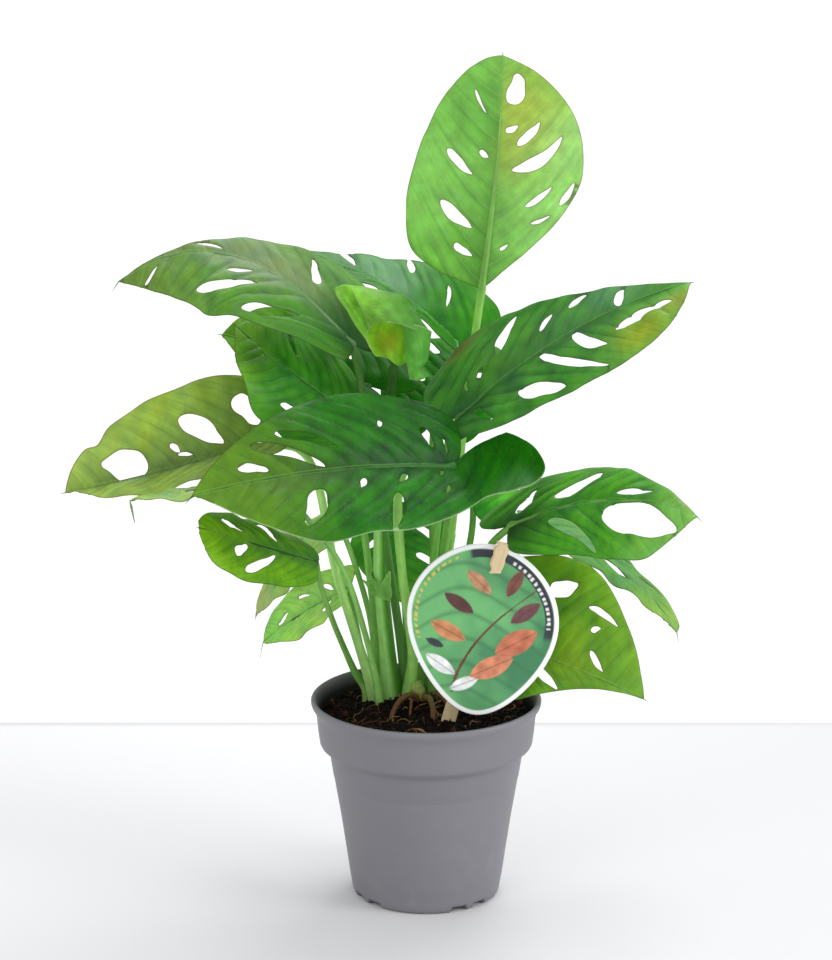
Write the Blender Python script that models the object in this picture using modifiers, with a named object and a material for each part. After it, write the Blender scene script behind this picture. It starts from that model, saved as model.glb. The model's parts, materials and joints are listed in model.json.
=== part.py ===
"""Swiss cheese plant in its nursery pot: one solid for each leaf with its stalk, and the pot, soil,
main shoot, old stem stub, plant label and label stick. Metres, +Z up, the pot's flat base centred
on the origin, the front of the plant towards -Y."""
import math

import bmesh
import bpy
import numpy as np
from mathutils import Matrix, Vector
from mathutils.geometry import delaunay_2d_cdt

MM = 0.001
GAP = 0.4                 # clearance between neighbouring pieces, mm
BLADE = 0.7               # leaf blade thickness, mm
VEIN_SLANT = 0.3          # how far a side vein runs towards the tip, as a part of the leaf's length

POT_HEIGHT = 106.0        # mm, as all sizes below
POT_RIM_RADIUS = 60.0
POT_BAND_TOP_RADIUS = 57.0
POT_BAND_LOW_RADIUS = 55.4
POT_WALL_TOP_RADIUS = 50.0
POT_BASE_RADIUS = 38.0
POT_SHOULDER_Z = 74.0
POT_WALL = 1.5
POT_FLOOR = 2.0
POT_SIDES = 40
DRAIN_NOTCHES = 6

SOIL_EDGE_Z = 96.0
SOIL_MOUND_Z = 101.0
SOIL_BOTTOM_Z = 3.0
STEM_FOOT_Z = 84.0        # how deep the stalks stand in the soil

CARD_WIDTH, CARD_HEIGHT, CARD_THICK = 73.0, 90.0, 0.9
CARD_CENTRE = (28.0, -34.0, 152.5)
CARD_LEAN = math.radians(-6)
STICK_WIDTH, STICK_THICK = 7.2, 1.8
STICK_FOOT = (7.5, -13.0, 84.0)
STICK_TOP = (38.5, -37.0, 199.0)

# Each leaf: base, middle and tip of its midrib, the left and right margin at its widest (left and
# right as seen from above with the tip ahead), and its stalk from the soil up to the blade. Holes are
# (side, s0, x0, s1, x1, half width in mm, bow): s is where a side vein leaves the midrib, x how far
# out towards the margin.
LEAVES = {
    "leaf_top": dict(
        rib=((28, 8, 320), (35, 2, 383), (38, 14, 437)), left=(78, 0, 382), right=(-10, 12, 364),
        curl=(.3, .3), wave=1.5, lobes=(-.16, -.03), base=(.13, .03), tips=((.08, .5), (0, .62)),
        stalk=((5, 21), (12, 18, 180), (21, 17, 262), (25, 15, 296)), girth=(2.6, 2.0),
        holes=(("l", .73, .14, .86, .18, 4.8), ("l", .63, .07, .62, .21, 1.7), ("l", .53, .22, .565, .46, 2.2),
               ("l", .435, .18, .43, .73, 2.8, -.12), ("l", .235, .375, .24, .66, 1.4),
               ("l", .135, .77, .19, .91, 1.5), ("l", .145, .46, .12, .68, .9), ("l", .12, .14, .12, .23, 1.0),
               ("r", .75, .30, .68, .16, .9), ("r", .50, .21, .505, .10, 1.5), ("r", .385, .58, .375, .27, 2.3),
               ("r", .15, .60, .17, .21, 2.9), ("r", .04, .39, .07, .165, 1.9))),
    "leaf_upper_right": dict(
        rib=((16, -20, 260), (71, -32, 305), (127, -62, 336)), left=(30, 5, 302), right=(79, -70, 289),
        wave=0, lobes=(.07, .12), tips=((.35, .3, .08), (-.05, .85)),
        stalk=((3, 12), (8, 8, 170), (13, -8, 225)), girth=(2.8, 1.9),
        holes=(("l", .115, .36, .11, .75, 2.6), ("l", .06, .22, .06, .34, 1.1), ("l", -.02, .36, .015, .2, 1.4),
               ("l", .32, .26, .35, .38, 1.4), ("l", .415, .36, .47, .42, 1.6), ("l", .685, .06, .665, .29, 2.6),
               ("r", .0, .12, -.085, .57, 1.8), ("r", .075, .55, .165, .88, 3.4), ("r", .35, .04, .41, .9, 2.6, -.09),
               ("r", .5, .05, .5, .62, 3, -.1), ("r", .6, .43, .87, .27, 2.6, -.02))),
    "leaf_right": dict(
        rib=((43, -28, 206), (90, -52, 225), (131, -84, 225)), left=(73, -8, 229), right=(95, -80, 202),
        lobes=(.16, -.05), wave=.6, tips=((.3, .35, .12), (.06, .5)),
        stalk=((9, 15), (14, 10, 140), (30, -10, 186)), girth=(2.6, 1.8),
        holes=(("l", -.04, .2, -.09, .62, 2.8, .08), ("l", .13, .27, .22, .62, 3.8, .08), ("l", .49, .13, .64, .22, 1.6, .02),
               ("r", .385, .3, .83, .35, 8.5, 0), ("r", .125, .2, .17, .9, 3.8, .04))),
    "leaf_lower_right": dict(
        rib=((36, -8, 139), (75, -22, 128), (112, -20, 111)), left=(88, 2, 170), right=(44, -26, 113),
        wave=.8, tips=((.05, .45), (.5, .12, .1)), wide=(.45, .15),
        stalk=((16, 9), (18, 6, 112), (26, 0, 130)), girth=(2.4, 1.7),
        holes=(("l", .05, .64, .15, .83, 4.3, 0), ("l", .31, .69, .53, .62, 1.8, .06), ("l", .42, .46, .44, .52, 1.5),
               ("l", .51, .22, .665, .08, 1.7), ("r", .19, .12, .27, .5, 3.0))),
    "leaf_right_back": dict(
        rib=((62, 25, 190), (102, 32, 168), (132, 22, 134)), left=(120, 60, 150), right=(99, 8, 164),
        stalk=((16, 24), (24, 26, 140), (44, 25, 182)), girth=(2.4, 1.6),
        holes=(("l", .3, .25, .42, .5, 1.2), ("r", .25, .3, .4, .6, 1.6), ("l", .55, .2, .6, .5, 1.4))),
    "leaf_front": dict(
        rib=((13, -55, 243), (-49, -92, 250), (-111, -118, 244)), left=(-39, -118, 223), right=(-38, -62, 281),
        ear=(21, 0), lobes=(.315, .04), base=(.2, 0), tips=((.1, .3), (.1, .42)),
        stalk=((-9, 6), (-7, 1, 130), (-12, -4, 170), (-16, -14, 208), (-4, -42, 234)), girth=(3.2, 2.2),
        holes=(("r", .62, .44, .48, .05, 2.9), ("r", .49, .55, .36, .27, 2.4), ("r", .755, .2, .675, .1, 2.4),
               ("r", .115, .5, .1, .58, 1.4), ("r", -.04, .5, .005, .23, 2.2), ("r", -.08, .36, -.02, .15, .8),
               ("l", .455, .3, .42, .76, 4.6), ("l", .31, .2, .305, .34, 1.6), ("l", .165, .15, .155, .3, 1.8),
               ("l", .03, .06, .02, .17, 1.), ("l", -.045, .34, -.055, .5, 1.2), ("l", .15, .40, .04, .92, 5.2))),
    "leaf_left": dict(
        rib=((-89, -20, 245), (-132, -50, 239), (-176, -72, 234)), left=(-132, -73, 234), right=(-114, -26, 280),
        tips=((.1, .4), (.1, .55)),
        stalk=((-27.5, 8), (-46, -1, 172), (-60, -10, 236)), girth=(3.0, 1.9),
        holes=(("r", .54, .07, .72, .27, 7.2), ("r", .18, .6, .1, .14, 4.8), ("r", -.15, .66, -.14, .24, 5.6),
               ("r", .34, .31, .33, .18, 1.6), ("r", .35, .16, .28, .1, 1.))),
    "leaf_left_low": dict(
        rib=((-84, -86, 243), (-114, -98, 242), (-142, -102, 238)), left=(-113, -108, 240), right=(-112, -86, 240),
        stalk=((-24.5, 1.5), (-31, -6, 140), (-44, -24, 185), (-70, -62, 231)), girth=(2.0, 1.4),
        holes=(("l", .45, .3, .2, .6, 1.8), ("r", .4, .3, .3, .6, 1.6))),
    "leaf_upper_left": dict(
        rib=((-37, -20, 297), (-94, -40, 345), (-148, -70, 338)), left=(-97, -70, 321), right=(-50, 15, 329),
        wide=(.45, .15), curl=(-.5, -.2), lobes=(.02, .06), base=(.08, 0), tips=((.1, .45), (.6, .1, .06)),
        stalk=((-10, 18), (-22, 23, 190), (-31, 10, 250), (-34, -4, 278)), girth=(2.8, 1.9),
        holes=(("l", .84, .26, .81, .1, 1.), ("l", .44, .28, .36, .17, 1.3), ("l", .49, .62, .27, .36, 3.2),
               ("l", .14, .85, .04, .45, 3.4), ("r", .1, .3, .05, .6, 2.8), ("r", .53, .07, .64, .09, .8))),
    "leaf_back_top": dict(
        rib=((15, 38, 286), (-25, 52, 316), (-75, 62, 331)), curl=(-.5, -.1), left=(-27, 23, 317), right=(24, 90, 310),
        lobes=(.1, .1), tips=((.1, .4), (.4, .15, .1)), wide=(.4, .15),
        stalk=((-2, 30), (5, 34, 180), (14, 36, 255)), girth=(2.6, 1.8),
        holes=(("r", .66, .25, .62, .06, 2.2), ("r", .26, .4, .24, .62, 2.), ("r", .02, .62, .06, .3, 1.2))),
    "leaf_mid_left": dict(
        rib=((-40, -8, 259), (-69, -16, 283), (-95, -22, 307)), left=(-76, -41, 257), right=(-58, 22, 294),
        lobes=(.14, .02), tips=((.05, .45), (.1, .4)),
        stalk=((-23, 23), (-31, 18, 180), (-38, 4, 238)), girth=(2.4, 1.7),
        holes=(("l", .72, .06, .62, .2, 1.2), ("l", .28, .62, .2, .5, 1.8), ("r", .4, .3, .5, .6, 2.))),
    "leaf_back_left": dict(
        rib=((-30, 42, 262), (-70, 62, 275), (-108, 70, 284)), left=(-78, 29, 262), right=(-64, 95, 285),
        lobes=(.2, .2), stalk=((-17, 33), (-24, 38, 180), (-29, 42, 236)), girth=(2.4, 1.7),
        holes=(("l", .3, .3, .4, .6, 2.), ("r", .3, .3, .4, .7, 2.4), ("r", .1, .3, .1, .7, 2.))),
    "leaf_lower_left": dict(
        rib=((-55, -48, 192), (-82, -84, 211), (-108, -112, 227)), left=(-88, -104, 199), right=(-86, -66, 219),
        lobes=(-.02, .05), wave=.8, tips=((0, .62), (0, .62)),
        stalk=((-31.5, 13), (-37, 9.5, 116), (-43, -1, 134), (-48, -12, 151), (-53, -36, 176)), girth=(1.9, 1.5),
        holes=(("r", .63, .47, .53, .24, 2.2), ("r", .2, .74, .235, .27, 2.6), ("l", .6, .42, .565, .12, 2.8),
               ("l", .4, .76, .31, .17, 2.6))),
    "leaf_low_left": dict(
        rib=((-41, 21, 158), (-63, 33, 143), (-87, 45, 122)), left=(-64, 16, 135), right=(-68, 58, 149),
        lobes=(.04, .08), wave=1, tips=((.05, .45), (.05, .5)),
        stalk=((-30, 21), (-33, 21, 120), (-38, 20, 146)), girth=(2.0, 1.5),
        holes=(("r", .44, .47, .35, .33, 1.1), ("r", .18, .42, .13, .14, 1.4), ("r", .79, .1, .62, .22, 1.4),
               ("l", .68, .16, .5, .06, 1.6), ("l", .12, .5, .12, .15, 2.3))),
    "leaf_low_left_back": dict(
        rib=((-50, 60, 185), (-76, 78, 160), (-93, 84, 124)), left=(-74, 58, 148), right=(-82, 96, 152),
        stalk=((-26, 31), (-30, 36, 140), (-42, 50, 176)), girth=(2.0, 1.4),
        holes=(("l", .4, .3, .5, .6, 1.6), ("r", .3, .3, .4, .7, 1.8))),
    "leaf_low_back": dict(
        rib=((-14, 54, 196), (-15, 72, 168), (-12, 84, 132)), left=(16, 78, 170), right=(-40, 68, 170),
        lobes=(.04, .12), stalk=((-9, 38), (-11, 43, 140), (-13, 48, 176)), girth=(2.2, 1.6),
        holes=(("l", .2, .3, .3, .7, 2.), ("r", .3, .3, .3, .7, 2.), ("l", .5, .3, .55, .6, 1.8))),
    "leaf_back": dict(
        rib=((4, 54, 242), (14, 86, 264), (30, 122, 270)), left=(-20, 92, 262), right=(48, 76, 256),
        stalk=((4, 35), (4, 40, 150), (3, 48, 212)), girth=(2.4, 1.7),
        holes=(("l", .2, .3, .3, .7, 2.4), ("r", .3, .3, .3, .7, 2.4), ("l", .5, .3, .55, .6, 2.), ("r", .05, .3, .05, .7, 2.))),
    "leaf_right_rear": dict(
        rib=((25, 46, 198), (35, 76, 213), (45, 106, 212)), left=(10, 94, 206), right=(54, 70, 206),
        lobes=(.08, .12), stalk=((13, 32), (18, 37, 150), (24, 43, 182)), girth=(2.4, 1.7),
        holes=(("l", .2, .3, .3, .7, 2.4), ("r", .3, .3, .3, .7, 2.4), ("l", .5, .3, .55, .6, 2.), ("r", .05, .3, .05, .7, 2.))),
}

# The young leaf at the end of the main shoot, still rolled at both sides.
YOUNG_LEAF = dict(
    rib=((-17, -8, 281), (-21, -18, 308), (-39, -26, 327)), left=(-38, -31, 307), right=(-1, -7, 303),
    curl=(1.6, 2.4), wave=2.2, lobes=(.05, -.04), tips=((.05, .5), (.05, .5)),
    stalk=((-18.5, 11), (-23, 8.5, 150), (-24.5, 8, 180), (-23, 7, 218), (-19, 3, 262)), girth=(4.2, 2.2), holes=())


def unit(v):
    return v / np.linalg.norm(v, axis=-1, keepdims=True)


def turned(d, a, b):
    """d carried by the smallest turn that takes the direction a to each direction b."""
    axis = np.cross(a, b)
    cos = (a * b).sum(-1, keepdims=True)
    return d * cos + np.cross(axis, d) + axis * (axis * d).sum(-1, keepdims=True) / (1 + cos)


def rolled(d, t, angle):
    """d turned about the unit axis t by an angle in radians."""
    return d * math.cos(angle) + np.cross(t, d) * math.sin(angle) + t * (t * d).sum() * (1 - math.cos(angle))


class Blade:
    """A leaf blade as a surface over (v, x): v runs 0 to 1 from base to tip along the midrib, a curve
    through its three given points, and x from -1 at the left margin to 1 at the right. Each side is an
    arc across the midrib that ends in the given margin point, with a waved rim."""

    def __init__(self, spec):
        self.rib_points = [np.array(p, float) for p in spec["rib"]]
        self.lobes = spec.get("lobes", (.16, .16))
        self.curl = spec.get("curl", (-.5, -.5))
        self.tips = spec.get("tips", ((.1, .45), (.1, .45)))
        self.base = spec.get("base", (0, 0))
        self.ear = spec.get("ear", (0, 0))
        self.wave = spec.get("wave", 1.5)
        base, middle, tip = self.rib_points
        self.length = np.linalg.norm(middle - base) + np.linalg.norm(tip - middle)
        self.sides = []
        steps = np.linspace(.2, .62, 85)
        for k, name in enumerate(("left", "right")):
            edge = np.array(spec[name], float)
            near = steps[int(np.argmin(((self.rib(steps) - edge) ** 2).sum(-1)))]
            v = spec["wide"][k] if "wide" in spec else near
            t = unit(self.tangent(np.array(v)))
            chord = edge - self.rib(np.array(v))
            half = self.curl[k] / 2
            width = np.linalg.norm(chord) * half / math.sin(half)
            out = rolled(unit(chord), t, half if k else -half)
            self.sides.append((v, t, out, width))

    def rib(self, v):
        v = np.asarray(v, float)[..., None]
        base, middle, tip = self.rib_points
        return base * (1 - v) * (1 - 2 * v) + middle * 4 * v * (1 - v) + tip * v * (2 * v - 1)

    def tangent(self, v):
        v = np.maximum(np.asarray(v, float)[..., None], -.1)
        base, middle, tip = self.rib_points
        return base * (4 * v - 3) + middle * (4 - 8 * v) + tip * (4 * v - 1)

    def at(self, v, x):
        """Point in mm: rib(v) + out * w sin(c|x|)/c + up * (w (1 - cos(c|x|))/c + rim wave), with the
        basal lobe lifted by its ear."""
        v, x = np.broadcast_arrays(np.asarray(v, float), np.asarray(x, float))
        t = unit(self.tangent(v))
        r = np.abs(x)
        point = np.zeros(v.shape + (3,))
        for k, (_, t0, out0, width) in enumerate(self.sides):
            out = turned(out0, t0, t)
            up = np.cross(out, t) if k else np.cross(t, out)
            c = self.curl[k]
            rim = r ** 2 * self.wave * np.sin(6 * math.pi * v + 1.7 * k)
            rise = width * (1 - np.cos(c * r)) / c + rim
            q = self.rib(v) + out * (width * np.sin(c * r) / c)[..., None] + up * rise[..., None]
            if self.ear[k]:
                lobe = self.lobes[k]
                stand = np.clip(-2 * v / lobe, 0, 1) ** .7 * np.clip(1 - 2 * r, 0, 1)
                back = np.clip((.08 - v) / (.08 + .6 * lobe), 0, 1) ** 2 * r
                q[..., 2] += self.ear[k] * (stand + .45 * back)
                q[..., 1] += .3 * self.ear[k] * stand
            point = np.where(((x > 0) if k else (x <= 0))[..., None], q, point)
        return point

    def margin(self, k, counts):
        """One side's margin from the stalk to the tip as (v, x), in three Bezier pieces."""
        v = self.sides[k][0]
        lobe, shift = self.lobes[k], self.base[k]
        blunt, full, reach = (tuple(self.tips[k]) + (.24,))[:3]
        first = ((-.3 * lobe, .14), (-.7 * lobe, .28)) if lobe < 0 else ((-.5 * lobe, .06), (-lobe, .16))
        pieces = (((0, 0),) + first + ((-lobe, .42),),
                  ((-lobe, .42), (-lobe + shift, .78), (v - .24 + shift, 1), (v, 1)),
                  ((v, 1), (v + reach, 1 if reach > .1 else .93), (1 - blunt, full), (1, 0)))
        points = []
        for piece, n in zip(pieces, counts):
            p = np.array(piece, float)
            u = np.arange(n)[:, None] / n
            points.append(p[0] * (1 - u) ** 3 + 3 * p[1] * u * (1 - u) ** 2 + 3 * p[2] * u * u * (1 - u) + p[3] * u ** 3)
        return np.vstack(points + [[(1, 0)]])

    def outline(self, counts=(3, 5, 7)):
        left = self.margin(0, counts) * (1, -1)
        return np.vstack([left, self.margin(1, counts)[::-1][1:-1]])

    def hole(self, side, s0, x0, s1, x1, half, bow=-.04):
        """An egg-shaped hole between two side veins, as (v, x)."""
        k = 0 if side == "l" else 1
        width = self.sides[k][3]
        a = np.array([(s0 + VEIN_SLANT * x0) * self.length, x0 * width])
        b = np.array([(s1 + VEIN_SLANT * x1) * self.length, x1 * width])
        size = np.linalg.norm(b - a)
        along = (b - a) / size
        across = np.array([-along[1], along[0]]) * (1 if along[1] < 0 else -1)
        n = 5 if size < 8 else 7 if size < 20 else 9
        u = (np.arange(n) / n * 2 * math.pi)[:, None]
        f = (1 - np.cos(u)) / 2
        off = half * np.sin(u) * (1 + .3 * np.cos(u)) + bow * size * 4 * f * (1 - f)
        p = a + along * size * f + across * off
        return np.stack([p[:, 0] / self.length, p[:, 1] / width * (1 if k else -1)], -1)


def inside(points, loop):
    """Which points lie inside a closed loop, by counting the edges to their right."""
    hit = np.zeros(len(points), bool)
    for (x0, y0), (x1, y1) in zip(loop, np.roll(loop, -1, 0)):
        crosses = (y0 > points[:, 1]) != (y1 > points[:, 1])
        x = x0 + (points[:, 1] - y0) * (x1 - x0) / (y1 - y0 + 1e-12)
        hit ^= crosses & (points[:, 0] < x)
    return hit


def clear_of(points, loop, gap):
    d = np.linalg.norm(points[:, None] - loop[None], axis=-1).min(1)
    return d > gap


parts = bpy.data.collections.new("monstera_adansonii")
cutters = bpy.data.collections.new("cutters")


def start():
    for ob in list(bpy.data.objects):
        bpy.data.objects.remove(ob, do_unlink=True)
    bpy.context.scene.collection.children.link(parts)
    bpy.context.scene.collection.children.link(cutters)


def material(name, color, roughness):
    m = bpy.data.materials.new(name)
    m.use_nodes = True
    shader = m.node_tree.nodes["Principled BSDF"]
    shader.inputs["Base Color"].default_value = (*color, 1)
    shader.inputs["Roughness"].default_value = roughness
    shader.inputs["Metallic"].default_value = 0
    return m


def add(name, mesh, color, roughness, to=None):
    ob = bpy.data.objects.new(name, mesh)
    (to or parts).objects.link(ob)
    if to is cutters:
        ob.hide_render = True
        ob.display_type = "WIRE"
    else:
        mesh.materials.clear()
        mesh.materials.append(material(name + "_material", color, roughness))
    return ob


def modify(ob, kind, **values):
    m = ob.modifiers.new(kind.lower(), kind)
    for key, value in values.items():
        setattr(m, key, value)
    return m


def baked(ob):
    """Apply the modifiers of an object, or turn a curve into a mesh, and return it."""
    depsgraph = bpy.context.evaluated_depsgraph_get()
    mesh = bpy.data.meshes.new_from_object(ob.evaluated_get(depsgraph))
    if ob.type == "CURVE":
        bm = bmesh.new()
        bm.from_mesh(mesh)
        bmesh.ops.remove_doubles(bm, verts=bm.verts, dist=0.00001)
        bmesh.ops.recalc_face_normals(bm, faces=bm.faces)
        bm.to_mesh(mesh)
        bm.free()
        new = bpy.data.objects.new(ob.name, mesh)
        for c in ob.users_collection:
            c.objects.link(new)
        new.matrix_world = ob.matrix_world
        name = ob.name
        bpy.data.objects.remove(ob, do_unlink=True)
        new.name = name
        return new
    ob.modifiers.clear()
    ob.data = mesh
    return ob


def tube(name, points, radii, sides=7, to=None):
    """A round stalk along a smooth curve through the points, in mm."""
    curve = bpy.data.curves.new(name, "CURVE")
    curve.dimensions = "3D"
    curve.bevel_depth = 1.0 * MM
    curve.bevel_resolution = 0
    curve.use_fill_caps = True
    circle = bpy.data.curves.new(name + "_section", "CURVE")
    circle.dimensions = "2D"
    ring = circle.splines.new("POLY")
    ring.points.add(sides - 1)
    for i in range(sides):
        a = -2 * math.pi * i / sides
        ring.points[i].co = (math.cos(a) * MM, math.sin(a) * MM, 0, 1)
    ring.use_cyclic_u = True
    section = bpy.data.objects.new(name + "_section", circle)
    curve.bevel_mode = "OBJECT"
    curve.bevel_object = section
    spline = curve.splines.new("POLY")
    spline.points.add(len(points) - 1)
    for i, (p, r) in enumerate(zip(points, radii)):
        spline.points[i].co = (p[0] * MM, p[1] * MM, p[2] * MM, 1)
        spline.points[i].radius = r
    ob = bpy.data.objects.new(name, curve)
    (to or parts).objects.link(ob)
    ob = baked(ob)
    bpy.data.objects.remove(section, do_unlink=True)
    return ob


def smooth_path(points, steps):
    """Points of a Catmull-Rom curve through the given ones, in mm."""
    p = np.array(points, float)
    p = np.vstack([2 * p[0] - p[1], p, 2 * p[-1] - p[-2]])
    out = []
    for i in range(1, len(p) - 2):
        for u in np.arange(steps) / steps:
            a, b, c, d = p[i - 1:i + 3]
            out.append(.5 * (2 * b + (c - a) * u + (2 * a - 5 * b + 4 * c - d) * u ** 2 + (3 * b - a - 3 * c + d) * u ** 3))
    return np.array(out + [p[-2]])


def stalk_points(spec, blade):
    """The stalk's course from its foot in the soil to the blade, then the midrib under the blade."""
    foot = spec["stalk"][0]
    course = [(*foot, STEM_FOOT_Z), (*foot, SOIL_MOUND_Z + 4)] + list(spec["stalk"][1:]) + [blade.rib_points[0]]
    path = smooth_path(course[1:], 4)
    rib = blade.rib(np.array([.12, .28, .45, .62, .78]))
    path = np.vstack([[course[0]], path, rib])
    n = len(path)
    low, high = spec["girth"]
    radii = np.empty(n)
    grow = np.linspace(0, 1, n - 5)
    radii[:n - 5] = low + (high - low) * grow ** .6
    radii[n - 5:] = (.8 * high, .65 * high, .52 * high, .42 * high, .35 * high)
    return path, np.maximum(radii, .62)


def build_leaf(name, spec, color, roughness=.42):
    """Blade with its holes, split into the same triangles on both faces, one body with stalk and rib."""
    blade = Blade(spec)
    unit_v, unit_x = blade.length, np.mean([s[3] for s in blade.sides])
    scale = np.array([unit_v, unit_x])
    rim = blade.outline() * scale
    holes = [blade.hole(*h) * scale for h in spec["holes"]]
    step = 15.0
    grid = np.array([(v, x) for v in np.arange(-60, unit_v, step) for x in np.arange(-60, 61, step * .9)])
    grid = grid[inside(grid, rim) & clear_of(grid, rim, 6)]
    for h in holes:
        if len(grid):
            grid = grid[~inside(grid, h) & clear_of(grid, h, 5)]
    verts = list(rim)
    faces = [list(range(len(rim)))]
    edges = []
    for h in holes:
        first = len(verts)
        verts.extend(h)
        edges.extend((first + i, first + (i + 1) % len(h)) for i in range(len(h)))
    verts.extend(grid)
    ids = faces[0]
    edges.extend((ids[i], ids[(i + 1) % len(ids)]) for i in range(len(ids)))
    co, _, tris, _, _, _ = delaunay_2d_cdt([Vector(p) for p in verts], edges, [], 0, 1e-6)
    co = np.array([tuple(p) for p in co])
    tris = np.array([tuple(t) for t in tris])
    centre = co[tris].mean(1)
    keep = inside(centre, rim)
    for h in holes:
        keep &= ~inside(centre, h)
    tris = tris[keep]
    points = blade.at(co[:, 0] / scale[0], co[:, 1] / scale[1]) * MM
    mesh = bpy.data.meshes.new(name)
    mesh.from_pydata([tuple(p) for p in points], [], [tuple(int(i) for i in t) for t in tris])
    bm = bmesh.new()
    bm.from_mesh(mesh)
    bmesh.ops.delete(bm, geom=[v for v in bm.verts if not v.link_faces], context="VERTS")
    bmesh.ops.recalc_face_normals(bm, faces=bm.faces)
    bm.to_mesh(mesh)
    bm.free()
    ob = add(name, mesh, color, roughness)
    modify(ob, "SOLIDIFY", thickness=BLADE * MM, offset=0, use_even_offset=False)
    ob = baked(ob)
    path, radii = stalk_points(spec, blade)
    stalk = tube(name + "_stalk", path, radii)
    group = bpy.data.collections.new(name + "_joined")
    bpy.context.scene.collection.children.link(group)
    group.objects.link(stalk)
    parts.objects.unlink(stalk)
    modify(ob, "BOOLEAN", operation="UNION", operand_type="COLLECTION", collection=group, solver="EXACT")
    ob = baked(ob)
    bpy.data.objects.remove(stalk, do_unlink=True)
    bpy.data.collections.remove(group)
    ob.data.materials.clear()
    ob.data.materials.append(material(name + "_material", color, roughness))
    return ob


def lathe(name, profile, sides, color, roughness):
    """A turned body from a profile of (radius, z) in mm, running down its outer side."""
    mesh = bpy.data.meshes.new(name)
    mesh.from_pydata([(r * MM, 0, z * MM) for r, z in profile], [(i, i + 1) for i in range(len(profile) - 1)], [])
    ob = add(name, mesh, color, roughness)
    modify(ob, "SCREW", steps=sides, render_steps=sides, use_merge_vertices=True, merge_threshold=0.0001,
           use_smooth_shade=False)
    return baked(ob)


def cut(ob, cutter):
    modify(ob, "BOOLEAN", operation="DIFFERENCE", object=cutter, solver="EXACT")
    return ob


def cylinder(name, x, y, radius, z0, z1, sides=10):
    bm = bmesh.new()
    bmesh.ops.create_cone(bm, cap_ends=True, segments=sides, radius1=radius * MM, radius2=radius * MM, depth=(z1 - z0) * MM)
    bmesh.ops.translate(bm, verts=bm.verts, vec=(x * MM, y * MM, (z0 + z1) / 2 * MM))
    mesh = bpy.data.meshes.new(name)
    bm.to_mesh(mesh)
    bm.free()
    return add(name, mesh, (0, 0, 0), 1, to=cutters)


def box(name, size, matrix, to=None, color=(0, 0, 0), roughness=1):
    bm = bmesh.new()
    bmesh.ops.create_cube(bm, size=1)
    bmesh.ops.scale(bm, verts=bm.verts, vec=[s * MM for s in size])
    mesh = bpy.data.meshes.new(name)
    bm.to_mesh(mesh)
    bm.free()
    ob = add(name, mesh, color, roughness, to=to)
    ob.matrix_world = matrix
    return ob


def build_pot():
    """Turned thin-walled pot with a stepped band and a rolled lip, drain notches round its foot."""
    w = POT_WALL
    inner_base = POT_BASE_RADIUS - w
    profile = [(0, POT_FLOOR), (inner_base - 1.5, POT_FLOOR), (inner_base, POT_FLOOR + 1.5),
               (POT_WALL_TOP_RADIUS - w, POT_SHOULDER_Z), (POT_BAND_LOW_RADIUS - w, POT_SHOULDER_Z + 5),
               (POT_BAND_TOP_RADIUS - w, 99), (POT_RIM_RADIUS - 2.4, POT_HEIGHT - 1), (POT_RIM_RADIUS - 1.6, POT_HEIGHT),
               (POT_RIM_RADIUS - .7, POT_HEIGHT - .1), (POT_RIM_RADIUS, POT_HEIGHT - 1.1), (POT_RIM_RADIUS - .1, POT_HEIGHT - 2.6),
               (POT_BAND_TOP_RADIUS + .6, 99), (POT_BAND_TOP_RADIUS, 96), (POT_BAND_LOW_RADIUS, POT_SHOULDER_Z + 6),
               (POT_BAND_LOW_RADIUS - 1.2, POT_SHOULDER_Z + 3), (POT_WALL_TOP_RADIUS, POT_SHOULDER_Z - 1),
               (POT_BASE_RADIUS + .9, 4), (POT_BASE_RADIUS, 1.2), (POT_BASE_RADIUS - 1.4, 0), (0, 0)]
    pot = lathe("pot", profile, POT_SIDES, (.215, .215, .235), .5)
    for i in range(DRAIN_NOTCHES):
        for side in (-1, 1):
            a = math.radians(-78 + i * 60) + side * .145
            turn = Matrix.Rotation(a, 4, "Z") @ Matrix.Translation(((POT_BASE_RADIUS - .5) * MM, 0, 1.6 * MM))
            cut(pot, box("notch_%d_%d" % (i, side), (6, 8, 4.2), turn, to=cutters))
    pot = baked(pot)
    return pot


def build_soil(feet, stick_matrix):
    """Potting soil filling the pot, mounded round the stems, with a plain hole for each stalk."""
    gap, w = GAP, POT_WALL
    profile = [(0, SOIL_MOUND_Z), (14, SOIL_MOUND_Z), (28, SOIL_MOUND_Z - 1), (42, SOIL_EDGE_Z + .6),
               (POT_BAND_TOP_RADIUS - w - 1.1, SOIL_EDGE_Z), (POT_BAND_LOW_RADIUS - w - gap - .4, POT_SHOULDER_Z + 6.5),
               (POT_WALL_TOP_RADIUS - w - gap - .5, POT_SHOULDER_Z + .2), (POT_BASE_RADIUS - w - gap - .5, POT_FLOOR + 2.4),
               (POT_BASE_RADIUS - w - gap - 2.2, SOIL_BOTTOM_Z - .5), (0, SOIL_BOTTOM_Z - .5)]
    soil = lathe("soil", profile, POT_SIDES // 2, (.028, .018, .012), .95)
    for i, (x, y, r) in enumerate(feet):
        cut(soil, cylinder("foot_hole_%d" % i, x, y, r, STEM_FOOT_Z - GAP, 110))
    size = (STICK_WIDTH + 2 * GAP, STICK_THICK + 2 * GAP, 60)
    cut(soil, box("stick_hole", size, stick_matrix @ Matrix.Translation((0, 0, (30 - GAP) * MM)), to=cutters))
    return baked(soil)


def frame(origin, up):
    """Axes at a point with Z along up and X as level as it can be."""
    z = Vector(up).normalized()
    y = z.cross(Vector((1, 0, 0))).normalized()
    x = y.cross(z)
    m = Matrix((x, y, z)).transposed().to_4x4()
    m.translation = Vector(origin) * MM
    return m


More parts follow.
